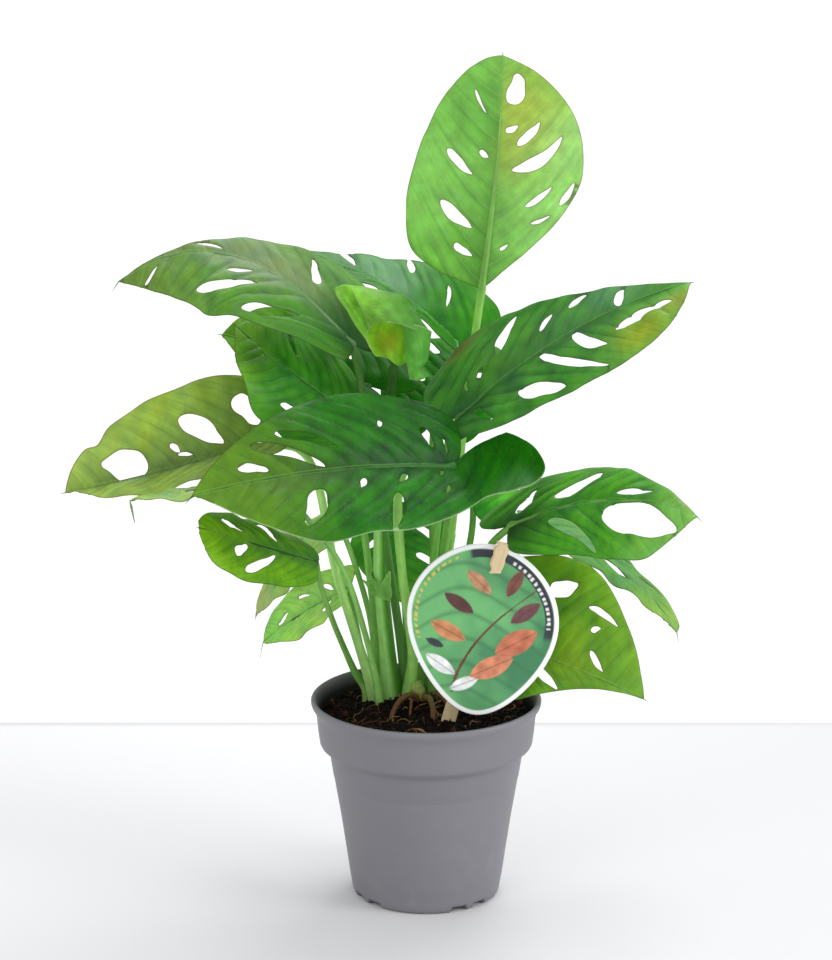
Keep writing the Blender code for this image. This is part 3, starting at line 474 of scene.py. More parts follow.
class LeafBlade:
    """A blade as a surface over (v, x): v runs 0 to 1 from base to tip along the midrib, a curve through
    its three given points, and x from -1 at the left margin to 1 at the right. Each side is an arc across
    the midrib that ends in the given margin point, with a waved rim."""

    def __init__(self, spec):
        """Find each side's widest place, its direction there and its width along the arc."""
        for key in ("lobes", "curl", "tips", "base", "ear", "wave", "nick"):
            setattr(self, key, spec[key])
        self.rib_points = base, middle, tip = [np.array(p, float) for p in spec["rib"]]
        self.length = np.linalg.norm(middle - base) + np.linalg.norm(tip - middle)
        self.sides = []
        steps = np.linspace(.2, .62, 85)
        for k, name in enumerate(("left", "right")):
            edge = np.array(spec[name], float)
            near = steps[int(np.argmin(((self.rib(steps) - edge) ** 2).sum(-1)))]
            v = spec["wide"][k] if "wide" in spec else near
            t = unit(self.tangent(np.array(v)))
            chord = edge - self.rib(np.array(v))
            half = self.curl[k] / 2
            width = np.linalg.norm(chord) * half / math.sin(half)
            self.sides.append((v, t, rolled(unit(chord), t, half if k else -half), width))

    def rib(self, v):
        """The midrib: the parabola through base, middle and tip at v = 0, 1/2 and 1."""
        v = np.asarray(v, float)[..., None]
        base, middle, tip = self.rib_points
        return base * (1 - v) * (1 - 2 * v) + middle * 4 * v * (1 - v) + tip * v * (2 * v - 1)

    def tangent(self, v):
        """The midrib's derivative by v, held still a little before the base."""
        v = np.maximum(np.asarray(v, float)[..., None], -.1)
        base, middle, tip = self.rib_points
        return base * (4 * v - 3) + middle * (4 - 8 * v) + tip * (4 * v - 1)

    def at(self, v, x):
        """Point in mm: rib(v) + out * w sin(c|x|)/c + up * (w (1 - cos(c|x|))/c + rim wave), with the
        basal lobe lifted by its ear."""
        v, x = np.broadcast_arrays(np.asarray(v, float), np.asarray(x, float))
        t = unit(self.tangent(v))
        r = np.abs(x)
        point = np.zeros(v.shape + (3,))
        for k, (_, t0, out0, width) in enumerate(self.sides):
            out = turned(out0, t0, t)
            up = np.cross(out, t) if k else np.cross(t, out)
            c = self.curl[k]
            rim = r ** 2 * self.wave * np.sin(6 * math.pi * v + 1.7 * k)
            rise = width * (1 - np.cos(c * r)) / c + rim
            q = self.rib(v) + out * (width * np.sin(c * r) / c)[..., None] + up * rise[..., None]
            if self.ear[k]:
                lobe = self.lobes[k]
                stand = np.clip(-1.6 * v / lobe, 0, 1) ** .8 * np.clip(1 - (r / .68) ** 1.7, 0, 1)
                back = np.clip((.08 - v) / (.08 + .6 * lobe), 0, 1) ** 2 * r
                q[..., 2] += self.ear[k] * (stand + .45 * back)
                q[..., 1] += .3 * self.ear[k] * stand
            point = np.where(((x > 0) if k else (x <= 0))[..., None], q, point)
        return point

    def margin(self, k, counts):
        """One side's margin from the stalk to the tip as (v, x), in three Bezier pieces."""
        v, lobe, shift = self.sides[k][0], self.lobes[k], self.base[k]
        blunt, full, reach = (*self.tips[k], .24)[:3]
        first = ((-.3 * lobe, .14), (-.7 * lobe, .28)) if lobe < 0 else ((-.5 * lobe, .06), (-lobe, .16))
        low = -lobe + shift * (.4 if self.ear[k] else 1)
        pieces = (((0, 0), *first, (-lobe, .42)),
                  ((-lobe, .42), (low, .78), (v - .24 + shift, 1), (v, 1)),
                  ((v, 1), (v + reach, 1 if reach > .1 else .93), (1 - blunt, full), (1, 0)))
        points = []
        for piece, n in zip(pieces, counts):
            a, b, c, d = np.array(piece, float)
            u = np.arange(n)[:, None] / n
            points.append(a * (1 - u) ** 3 + 3 * b * u * (1 - u) ** 2 + 3 * c * u * u * (1 - u) + d * u ** 3)
        points = np.vstack(points + [[(1, 0)]])
        nick_v, nick_deep, nick_long = self.nick[k]
        points[:, 1] *= 1 - nick_deep * hill(points[:, 0] - nick_v, nick_long)
        return points

    def outline(self, scale, spacing):
        """The whole margin as a closed loop on the flattened blade in mm, with even spacing."""
        counts = (60, 120, 160)
        left = self.margin(0, counts) * (1, -1)
        loop = np.vstack([left, self.margin(1, counts)[::-1][1:]]) * scale
        way = np.concatenate([[0], np.cumsum(np.linalg.norm(np.diff(loop, axis=0), axis=1))])
        n = int(way[-1] / spacing)
        even = np.arange(n) / n * way[-1]
        return np.stack([np.interp(even, way, loop[:, i]) for i in (0, 1)], -1)

    def hole(self, side, s0, x0, s1, x1, half, bow=-.04):
        """An egg-shaped hole between two side veins, as a loop on the flattened blade in mm: from one end to
        the other, half wide each way, bent by the bow and a little uneven."""
        k = "lr".index(side)
        width = self.sides[k][3]
        a = np.array([(s0 + VEIN_SLANT * x0) * self.length, x0 * width])
        b = np.array([(s1 + VEIN_SLANT * x1) * self.length, x1 * width])
        size = np.linalg.norm(b - a)
        along = (b - a) / size
        across = np.array([-along[1], along[0]]) * (1 if along[1] < 0 else -1)
        n = max(12, int(2 * size + 2 * half))
        u = round_angles(n)[:, None]
        f = (1 - np.cos(u)) / 2
        uneven = 1 + .12 * np.sin(2 * u + 9 * s0 + 5 * x0) + .1 * np.sin(5 * u + 40 * s0 + 3) * np.sin(u / 2)
        off = half * np.sin(u) * (1 + .3 * np.cos(u)) * uneven + bow * size * 4 * f * (1 - f)
        p = a + along * size * f + across * off
        return np.stack([p[:, 0] / self.length, p[:, 1] / width * (1 if k else -1)], -1)

    def vein_starts(self, k, holes):
        """Where the side veins of one side leave the midrib: even steps, pushed off its holes' lines."""
        starts = np.arange(-.5, 1.0, VEIN_STEP) + .03 * k
        for side, s0, _, s1, _, half, *_ in holes:
            if "lr".index(side) == k:
                off = starts - (s0 + s1) / 2
                clear = (half + 1.6) / self.length
                starts = starts + np.where(off < 0, -1, 1) * np.maximum(clear - np.abs(off), 0)
        starts = np.sort(starts)
        return starts[np.append(True, np.diff(starts) > VEIN_LEAST)]


def inside(points, loop):
    """Which points lie inside a closed loop, by counting the edges to their right."""
    x0, y0 = loop[:, 0], loop[:, 1]
    x1, y1 = np.roll(x0, -1), np.roll(y0, -1)
    px, py = points[:, :1], points[:, 1:]
    crosses = (y0 > py) != (y1 > py)
    return ((crosses & (px < x0 + (py - y0) * (x1 - x0) / (y1 - y0 + 1e-12))).sum(1) % 2).astype(bool)


def nearest(points, loop):
    """Distance in mm from each point to the nearest point of a loop."""
    d = points[:, None] - loop[None]
    return np.sqrt((d ** 2).sum(-1).min(1))


BLADE_THICK, ROW_STEP, EDGE_STEP, RIB_STEP, EDGE_GAP, LIP_OUT = .62, 1.55, 1.15, 1.4, .6, .16
HUMP, VEIN_GROOVE, RIB_GROOVE, VEIN_BELOW = .074, .2, .45, .3
BETWEEN_VEINS = np.array([0, .1, .3, .5, .7, .9])


def blade_grid(blade, width, starts):
    """Points inside a flattened blade as (along, across, line, step): rows on each side vein and between
    them, stepped outward, and a row on the midrib. Only a row on a vein or the midrib has a line number."""
    rows = []
    for k in (0, 1):
        s = (starts[k][:-1, None] + np.diff(starts[k])[:, None] * BETWEEN_VEINS).ravel()
        q = np.arange(.7, width * 1.02, ROW_STEP)
        line, step = np.meshgrid(np.arange(len(s)), np.arange(len(q)), indexing="ij")
        out = q[step] + line % 2 * ROW_STEP * .5
        v = s[line] + vein_lean(out / width)
        number = np.where(line % len(BETWEEN_VEINS) == 0, line + 1000 * k, -1)
        rows.append(np.stack([v * blade.length, out * (1 if k else -1), number, step], -1).reshape(-1, 4))
    middle = np.arange(0, blade.length, RIB_STEP)
    rows.append(np.stack([middle, 0 * middle, 0 * middle + 5000, np.arange(len(middle))], -1))
    return np.vstack(rows)


def cut_sheet(grid, rim, loops):
    """Join the grid's points within the rim and outside the holes into triangles whose edges follow the rim,
    the holes and the veins: returns the flat points and the triangles."""
    border = np.vstack([rim] + loops)
    grid = grid[inside(grid[:, :2], rim)]
    grid = grid[nearest(grid[:, :2], border) > EDGE_GAP]
    for loop in loops:
        grid = grid[~inside(grid[:, :2], loop)]
    follows = (grid[1:, 2] == grid[:-1, 2]) & (grid[1:, 2] >= 0) & (grid[1:, 3] == grid[:-1, 3] + 1)
    vein_edges = np.flatnonzero(follows)[:, None] + len(border) + np.array([0, 1])
    edges, first = [], 0
    for loop in [rim] + loops:
        n = len(loop)
        edges.extend((first + i, first + (i + 1) % n) for i in range(n))
        first += n
    edges.extend(map(tuple, vein_edges.tolist()))
    corners = [Vector(p) for p in np.vstack([border, grid[:, :2]])]
    flat, _, tris, *_ = delaunay_2d_cdt(corners, edges, [], 0, 1e-6)
    flat, tris = np.array([p[:] for p in flat]), np.array(tris)
    centre = flat[tris].mean(1)
    keep = inside(centre, rim)
    for loop in loops:
        keep &= ~inside(centre, loop)
    used, tris = np.unique(tris[keep], return_inverse=True)
    return flat[used], tris.reshape(-1, 3)


def two_faced(tris, surface, normal, lip_at):
    """Faces of a closed skin: the triangles, the same from below, and two strips round their border that meet
    in a row of lip points. Returns the faces, the lip's points and the border's point numbers."""
    facing = np.cross(surface[tris[:, 1]] - surface[tris[:, 0]], surface[tris[:, 2]] - surface[tris[:, 0]])
    if (facing * normal[tris[:, 0]]).sum() < 0:
        tris = tris[:, ::-1]
    edges = np.vstack([tris[:, [0, 1]], tris[:, [1, 2]], tris[:, [2, 0]]])
    _, inverse, times_met = np.unique(np.sort(edges, axis=1), axis=0, return_inverse=True, return_counts=True)
    border = edges[times_met[inverse.ravel()] == 1]
    a, b = border.T
    away = np.zeros_like(surface)
    outward = unit(np.cross(surface[b] - surface[a], normal[a] + normal[b]))
    np.add.at(away, a, outward)
    np.add.at(away, b, outward)
    ring, n = np.unique(border), len(surface)
    lip_number = np.full(n, -1)
    lip_number[ring] = 2 * n + np.arange(len(ring))
    c, d = lip_number[a], lip_number[b]
    walls = [np.stack(corners, -1) for corners in ((a, c, b), (b, c, d), (c, a + n, d), (d, a + n, b + n))]
    return np.vstack([tris, tris[:, ::-1] + n] + walls), lip_at[ring] + unit(away[ring]) * LIP_OUT, ring


def leaf_blade(blade, holes, seed):
    """Flatten, cut and mesh a blade, then lift it: returns (points, faces, layers) of the closed skin.
    Its height over at(v, x) is the hump between side veins, less the grooves of the veins and the midrib,
    plus a slow unevenness and a frill; its two faces lie half its thickness to each side."""
    width = np.mean([side[3] for side in blade.sides])
    scale = np.array([blade.length, width])
    rim = blade.outline(scale, EDGE_STEP)
    loops = [blade.hole(*hole) * scale for hole in holes]
    starts = [blade.vein_starts(k, holes) for k in (0, 1)]
    flat, tris = cut_sheet(blade_grid(blade, width, starts), rim, loops)
    v, x = (flat / scale).T
    surface = blade.at(v, x)
    e = .004
    normal = unit(np.cross(blade.at(v, x + e) - blade.at(v, x - e), blade.at(v + e, x) - blade.at(v - e, x)))
    edge_mm, margin_mm = nearest(flat, np.vstack([rim] + loops)), nearest(flat, rim)
    r, rib_mm = np.abs(x), np.abs(flat[:, 1])
    s = v - vein_lean(r)
    slope = 1 / math.hypot(1, VEIN_SLANT * blade.length / width)
    vein_mm, hump = np.zeros(len(flat)), np.zeros(len(flat))
    for k, mine in enumerate((x <= 0, x > 0)):
        i = np.clip(np.searchsorted(starts[k], s) - 1, 0, len(starts[k]) - 2)
        low, high = starts[k][i], starts[k][i + 1]
        f = np.clip((s - low) / (high - low), 0, 1)
        lively = .75 + .5 * np.sin(i * 2.4 + k * 1.3 + seed + 3.5 * r)
        rise = (high - low) * blade.length * HUMP * lively * (4 * f * (1 - f)) ** .9
        hump = np.where(mine, rise * fade(0, .3, r) * fade(1.5, 9, margin_mm), hump)
        off = np.minimum(np.abs(s - low), np.abs(high - s)) * blade.length * slope
        vein_mm = np.where(mine, off, vein_mm)
    vein_here = hill(vein_mm, .6) * (1 - fade(.4, .85, r)) * fade(-.3, .02, v + .2)
    rib_here = hill(rib_mm, 1.05) * (1 - .6 * np.clip(v, 0, 1)) * fade(-.02, .02, v)
    lumps = .9 * ripple(*flat.T, seed, 34) + .42 * ripple(*flat.T, seed + 9, 12)
    frill = 1.3 * ripple(*flat.T, seed + 70, 26) * (1 - fade(0, 13, margin_mm)) * fade(0, .25, r)
    height = hump - VEIN_GROOVE * vein_here - RIB_GROOVE * rib_here + lumps + frill
    half = BLADE_THICK / 2 * (.55 + .45 * fade(0, .9, edge_mm))
    upper = surface + normal * (height + half)[:, None]
    under = surface + normal * (height - half - VEIN_BELOW * vein_here)[:, None]
    faces, lip, ring = two_faced(tris, surface, normal, surface + normal * height[:, None])
    n = len(surface)
    pick = np.concatenate([np.arange(n), np.arange(n), ring])
    layers = {"vein_mm": vein_mm, "rim_mm": edge_mm, "rib_mm": rib_mm, "margin_mm": margin_mm, "v": v, "x": x,
              "flat_x": flat[:, 0] * MM, "flat_y": flat[:, 1] * MM, "pleat_x": s * blade.length * MM,
              "pleat_y": rib_mm * MM}
    layers = {key: values[pick] for key, values in layers.items()}
    layers["under"] = np.concatenate([np.zeros(n), np.ones(n), np.full(len(ring), .5)])
    return np.vstack([upper, under, lip]), faces, layers


def leaf_tones(layers, spec, seed):
    """Colour of each point of a blade: deep beside the midrib and the veins, fresh between them, turning to
    the tip's colour along v; then round patches, cut off at the midrib when they lie beside it; and the
    underside paler."""
    deep, fresh, tip = (paint(*tone) for tone in spec["tones"])
    v, x = layers["v"], layers["x"]
    r = np.abs(x)

    def uneven(offset, size):
        """Slow unevenness over the flattened blade, as lively as the leaf says."""
        return spec["lively"] * ripple(layers["flat_x"] * 1000, layers["flat_y"] * 1000, seed + offset, size)

    # Deeper green along the side veins: partly the leaf's own colour there, partly painted shade in the
    # sunken veins.
    groove = hill(layers["vein_mm"], 1.9) * (1 - .75 * fade(.45, .95, r))
    broad = uneven(50, 22)
    share = (.3 + .62 * fade(0, .42, r)) * (1 - .6 * groove) + .8 * broad + .4 * uneven(90, 7)
    colour = mixed(deep, fresh, np.clip(share, -.1, 1.2)[:, None])
    colour = mixed(colour, tip, fade(.55, 1.05, v + .12 * r + .08 * broad)[:, None])
    for pv, px, size, strength, tone in spec["patches"]:
        d = np.hypot((v - pv) * 100, (x - px) * 45)
        own_side = fade(-.03, .03, x * np.sign(px)) if abs(px) >= .2 else 1
        colour = mixed(colour, paint(*tone), (strength * hill(d, size, 2.2) * own_side)[:, None])
    colour = colour * (1 + uneven(130, 15)[:, None] * np.array([.13, .05, -.16]))
    return mixed(colour, mixed(colour, paint(150, 196, 110), .28), layers["under"][:, None])


def free_stalk(spec):
    """The stalk's course from its foot in the soil to the blade, and its radii: from the low to the high
    girth, thicker in the sheath at its foot and in a knee under the blade."""
    (low, high), foot = spec["girth"], spec["stalk"][0]
    path = smooth_path([(*foot, 92), (*foot, 105), *spec["stalk"][1:], spec["rib"][0]], 10)
    grow = np.linspace(0, 1, len(path))
    radii = (low + (high - low) * grow ** .6) * (1 + .14 * hill(1 - grow, .035))
    return path, radii * (1 + spec["sheath"] * hill(np.maximum(path[:, 2] - 100, 0), 20))


def rib_course(spec, blade):
    """The course along the midrib's underside to the tip and its drip point, and its radii."""
    v = np.linspace(.03, 1, 34)
    e = .01 + 0 * v
    normal = unit(np.cross(blade.at(v, e) - blade.at(v, -e), unit(blade.tangent(v))))
    radii = spec["girth"][1] * (.92 - .62 * fade(-.1, .7, v) - .14 * fade(.6, 1, v))
    rib = blade.rib(v) - normal * (radii * .8)[:, None]
    drip = np.array(spec.get("drip", unit(blade.tangent(np.array(1.0))) * 2.5), float)
    tail = np.array([rib[-1] + drip * f + (0, 0, -abs(drip[2]) * .15 * f * f) for f in (.3, .65, 1.0)])
    return np.vstack([rib, tail]), np.append(radii, radii[-1] * spec["hook"] * np.array([.75, .5, .22]))


FAR = 40.0


def away_from_veins(count, **own):
    """The named values of a skin whose veins, midrib and margin are far off, in mm, and its own values."""
    far = np.full(count, FAR)
    return {"vein_mm": far, "rim_mm": far, "rib_mm": far, **own}


def leaf_stalk(spec, blade):
    """The stalk and midrib as a grooved tube: its section is round with a shallow channel on the upper side,
    1 - deep exp(-(angle / .42) ** 2) and a little more, which ends at the blade."""
    (stalk, stalk_radii), (rib, rib_radii) = free_stalk(spec), rib_course(spec, blade)
    path, n, sides = np.vstack([stalk, rib]), len(stalk), 12

    def channel(angle, row):
        """The section's radius at an angle, as a part of the stalk's."""
        turn_back = (angle + math.pi) % (2 * math.pi) - math.pi
        deep = .26 * np.clip(row / 8, 0, 1) * (row < n)
        return 1 - deep * hill(turn_back, .42) + .06 * deep * np.cos(2 * turn_back)

    points, faces, along, angle = sweep(
        path, np.append(stalk_radii, rib_radii), blade.sides[1][2], sides, channel)
    rows = np.append(np.repeat(np.arange(len(path)), sides), [0, len(path) - 1])
    on_rib = (rows >= n - 1).astype(float)[:, None]
    colour = mixed(paint(*spec["stalk_tone"]), paint(*spec["rib_tone"]), on_rib)
    streak = 1 + .13 * np.sin(3 * angle + 2.0 * np.sin(along / 31)) + .06 * np.sin(along / 9 + angle)
    foot = np.clip((113 - points[:, 2]) / 14, 0, 1)[:, None] * .4
    none = np.zeros(len(points))
    return points, faces, away_from_veins(
        len(points), tint=mixed(colour * streak[:, None], paint(176, 200, 130), foot), under=none + .5,
        pale_rim=none, dull=none, flat_x=along * MM, flat_y=angle * MM * 3, pleat_x=angle * MM * 3,
        pleat_y=along * MM)


# How a leaf's skin looks close up, for every leaf: the blade's tint, a mottle, soft pleats along the side
# veins, a faint net of the finest veins between them, a thin margin and the wax's unevenness.
leaf_skin, skin_in, skin_out = shared_effect(
    "leaf_skin",
    {"Tint": (TINT, (.1, .3, .05, 1)), "Vein": (NUMBER, 9.0), "Rim": (NUMBER, 9.0), "Rib": (NUMBER, 9.0),
     "Under": (NUMBER, 0.0), "Flat": (ARROW, (0, 0, 0)), "Pleat": (ARROW, (0, 0, 0)),
     "Margin": (TINT, (.1, .05, .03, 1)), "Margin strength": (NUMBER, .6)},
    {"Colour": TINT, "Roughness": NUMBER, "Height": NUMBER})
t, given = leaf_skin, skin_in.outputs
mottle, pleats, wax = (
    place(t, "ShaderNodeTexNoise",
          {"Vector": given[over], "Scale": size, "Detail": detail, "Roughness": fall}).outputs["Fac"]
    for over, size, detail, fall in (("Flat", 130.0, 3.0, .55), ("Pleat", 260.0, 3.0, .6),
                                     ("Flat", 700.0, 2.0, .5)))
cells = place(t, "ShaderNodeTexVoronoi", {"Vector": given["Flat"], "Scale": 430.0},
              feature="DISTANCE_TO_EDGE")
net = near_zero(t, cells.outputs["Distance"], .12)
vein_line, rim_line = near_zero(t, given["Vein"], .6), near_zero(t, given["Rim"], .55)
beside_rib = near_zero(t, maths(t, "ABSOLUTE", less(t, given["Rib"], .85)), .3)
on_top = less(t, 1.0, given["Under"])
# The pleats' light and shade is painted into the colour here, as well as raised in the bump below.
level = times(t, plus(t, .7, times(t, mottle, .6)), plus(t, .79, times(t, pleats, .42)))
colour = levelled(t, given["Tint"], level)
# Of these marks, the dark line on top of each side vein is painted shade in its groove; the pale line under
# it is the vein's own colour.
for amount, tone in ((times(t, net, .035), paint(140, 190, 70)),
                     (times(t, vein_line, times(t, on_top, .15)), paint(24, 78, 34)),
                     (times(t, vein_line, times(t, given["Under"], .22)), paint(186, 222, 140)),
                     (times(t, beside_rib, .42), paint(150, 206, 120)),
                     (times(t, rim_line, given["Margin strength"]), given["Margin"])):
    colour = blend_colour(t, amount, colour, tone)
bumps = plus(t, times(t, net, -.5), times(t, wax, .35))
feed(skin_out, Colour=colour, Height=plus(t, bumps, times(t, pleats, 2.2)),
     Roughness=plus(t, plus(t, .31, times(t, mottle, .2)), times(t, given["Under"], .14)))


def leaf_finish(name, margin, margin_strength, through, coat):
    """A leaf material: the waxy skin over a blade that lets part of the light through."""
    made, tree, shader = finish_of(name, .4, coat)
    flat_x, flat_y = layer(tree, "flat_x"), layer(tree, "flat_y")
    pleat_x, pleat_y = layer(tree, "pleat_x"), layer(tree, "pleat_y")
    flat = place(tree, "ShaderNodeCombineXYZ", {0: flat_x, 1: flat_y})
    pleat = place(tree, "ShaderNodeCombineXYZ",
                  {0: pleat_x, 1: times(tree, pleat_y, .22), 2: times(tree, flat_y, .12)})
    edge = blend_colour(tree, layer(tree, "pale_rim"), paint(*margin), paint(214, 236, 184))
    look = place(tree, "ShaderNodeGroup", {
        "Tint": layer(tree, "tint", "Color"), "Vein": layer(tree, "vein_mm"), "Rim": layer(tree, "rim_mm"),
        "Rib": layer(tree, "rib_mm"), "Under": layer(tree, "under"), "Flat": flat.outputs[0],
        "Pleat": pleat.outputs[0], "Margin": edge, "Margin strength": margin_strength},
        node_tree=leaf_skin).outputs
    feed(shader, Base_Color=look["Colour"], Roughness=look["Roughness"],
         Specular_IOR_Level=times(tree, coat, less(tree, 1.0, layer(tree, "dull"))))
    normal = raised(tree, shader, look["Height"], .00012, .5)
    glow = blend_colour(tree, 1.0, look["Colour"], (1.0, 1.0, .55), "MULTIPLY")
    lit = place(tree, "ShaderNodeBsdfTranslucent", {"Color": glow, "Normal": normal})
    both = place(tree, "ShaderNodeMixShader", {0: through, 1: shader.outputs[0], 2: lit.outputs[0]})
    feed(tree.nodes["Material Output"], Surface=both.outputs[0])
    return made


deep_leaf = leaf_finish("deep_leaf", (62, 56, 30), .5, .3, .2)
light_leaf = leaf_finish("light_leaf", (104, 84, 44), .5, .42, .15)
young_leaf = leaf_finish("young_leaf", (206, 234, 168), .6, .45, .25)


# Every leaf starts as the plain leaf and says what is its own. In mm: rib is the midrib's base, middle and
# tip, left and right a point on each margin, stalk the stalk's course from its foot, girth its radii, ear
# the lift of a basal lobe, wave the rim's waves and drip the tip's point. Along v: lobes, base, tips, wide
# and nick shape the margins, left before right. A hole is its side, its two ends as (v, x), its half width
# and its bow; a patch is (v, x, size, strength, colour); matt is how dull, from where and to where.
PLAIN_LEAF = dict(
    lobes=(.16, .16), curl=(-.5, -.5), tips=((.1, .45), (.1, .45)), base=(0, 0), ear=(0, 0), wave=1.5,
    nick=((.5, 0, 1), (.5, 0, 1)), hook=1, sheath=.4, lively=1, pale_rim=0, matt=(0, 0, 1), patches=(),
    girth=(2.4, 1.7), stalk_tone=(132, 194, 92))
ALL_MATT = (.7, -2, -1)
REAR_HOLES = (("l", .2, .3, .3, .7, 2.4), ("r", .3, .3, .3, .7, 2.4), ("l", .5, .3, .55, .6, 2),
              ("r", .05, .3, .05, .7, 2))
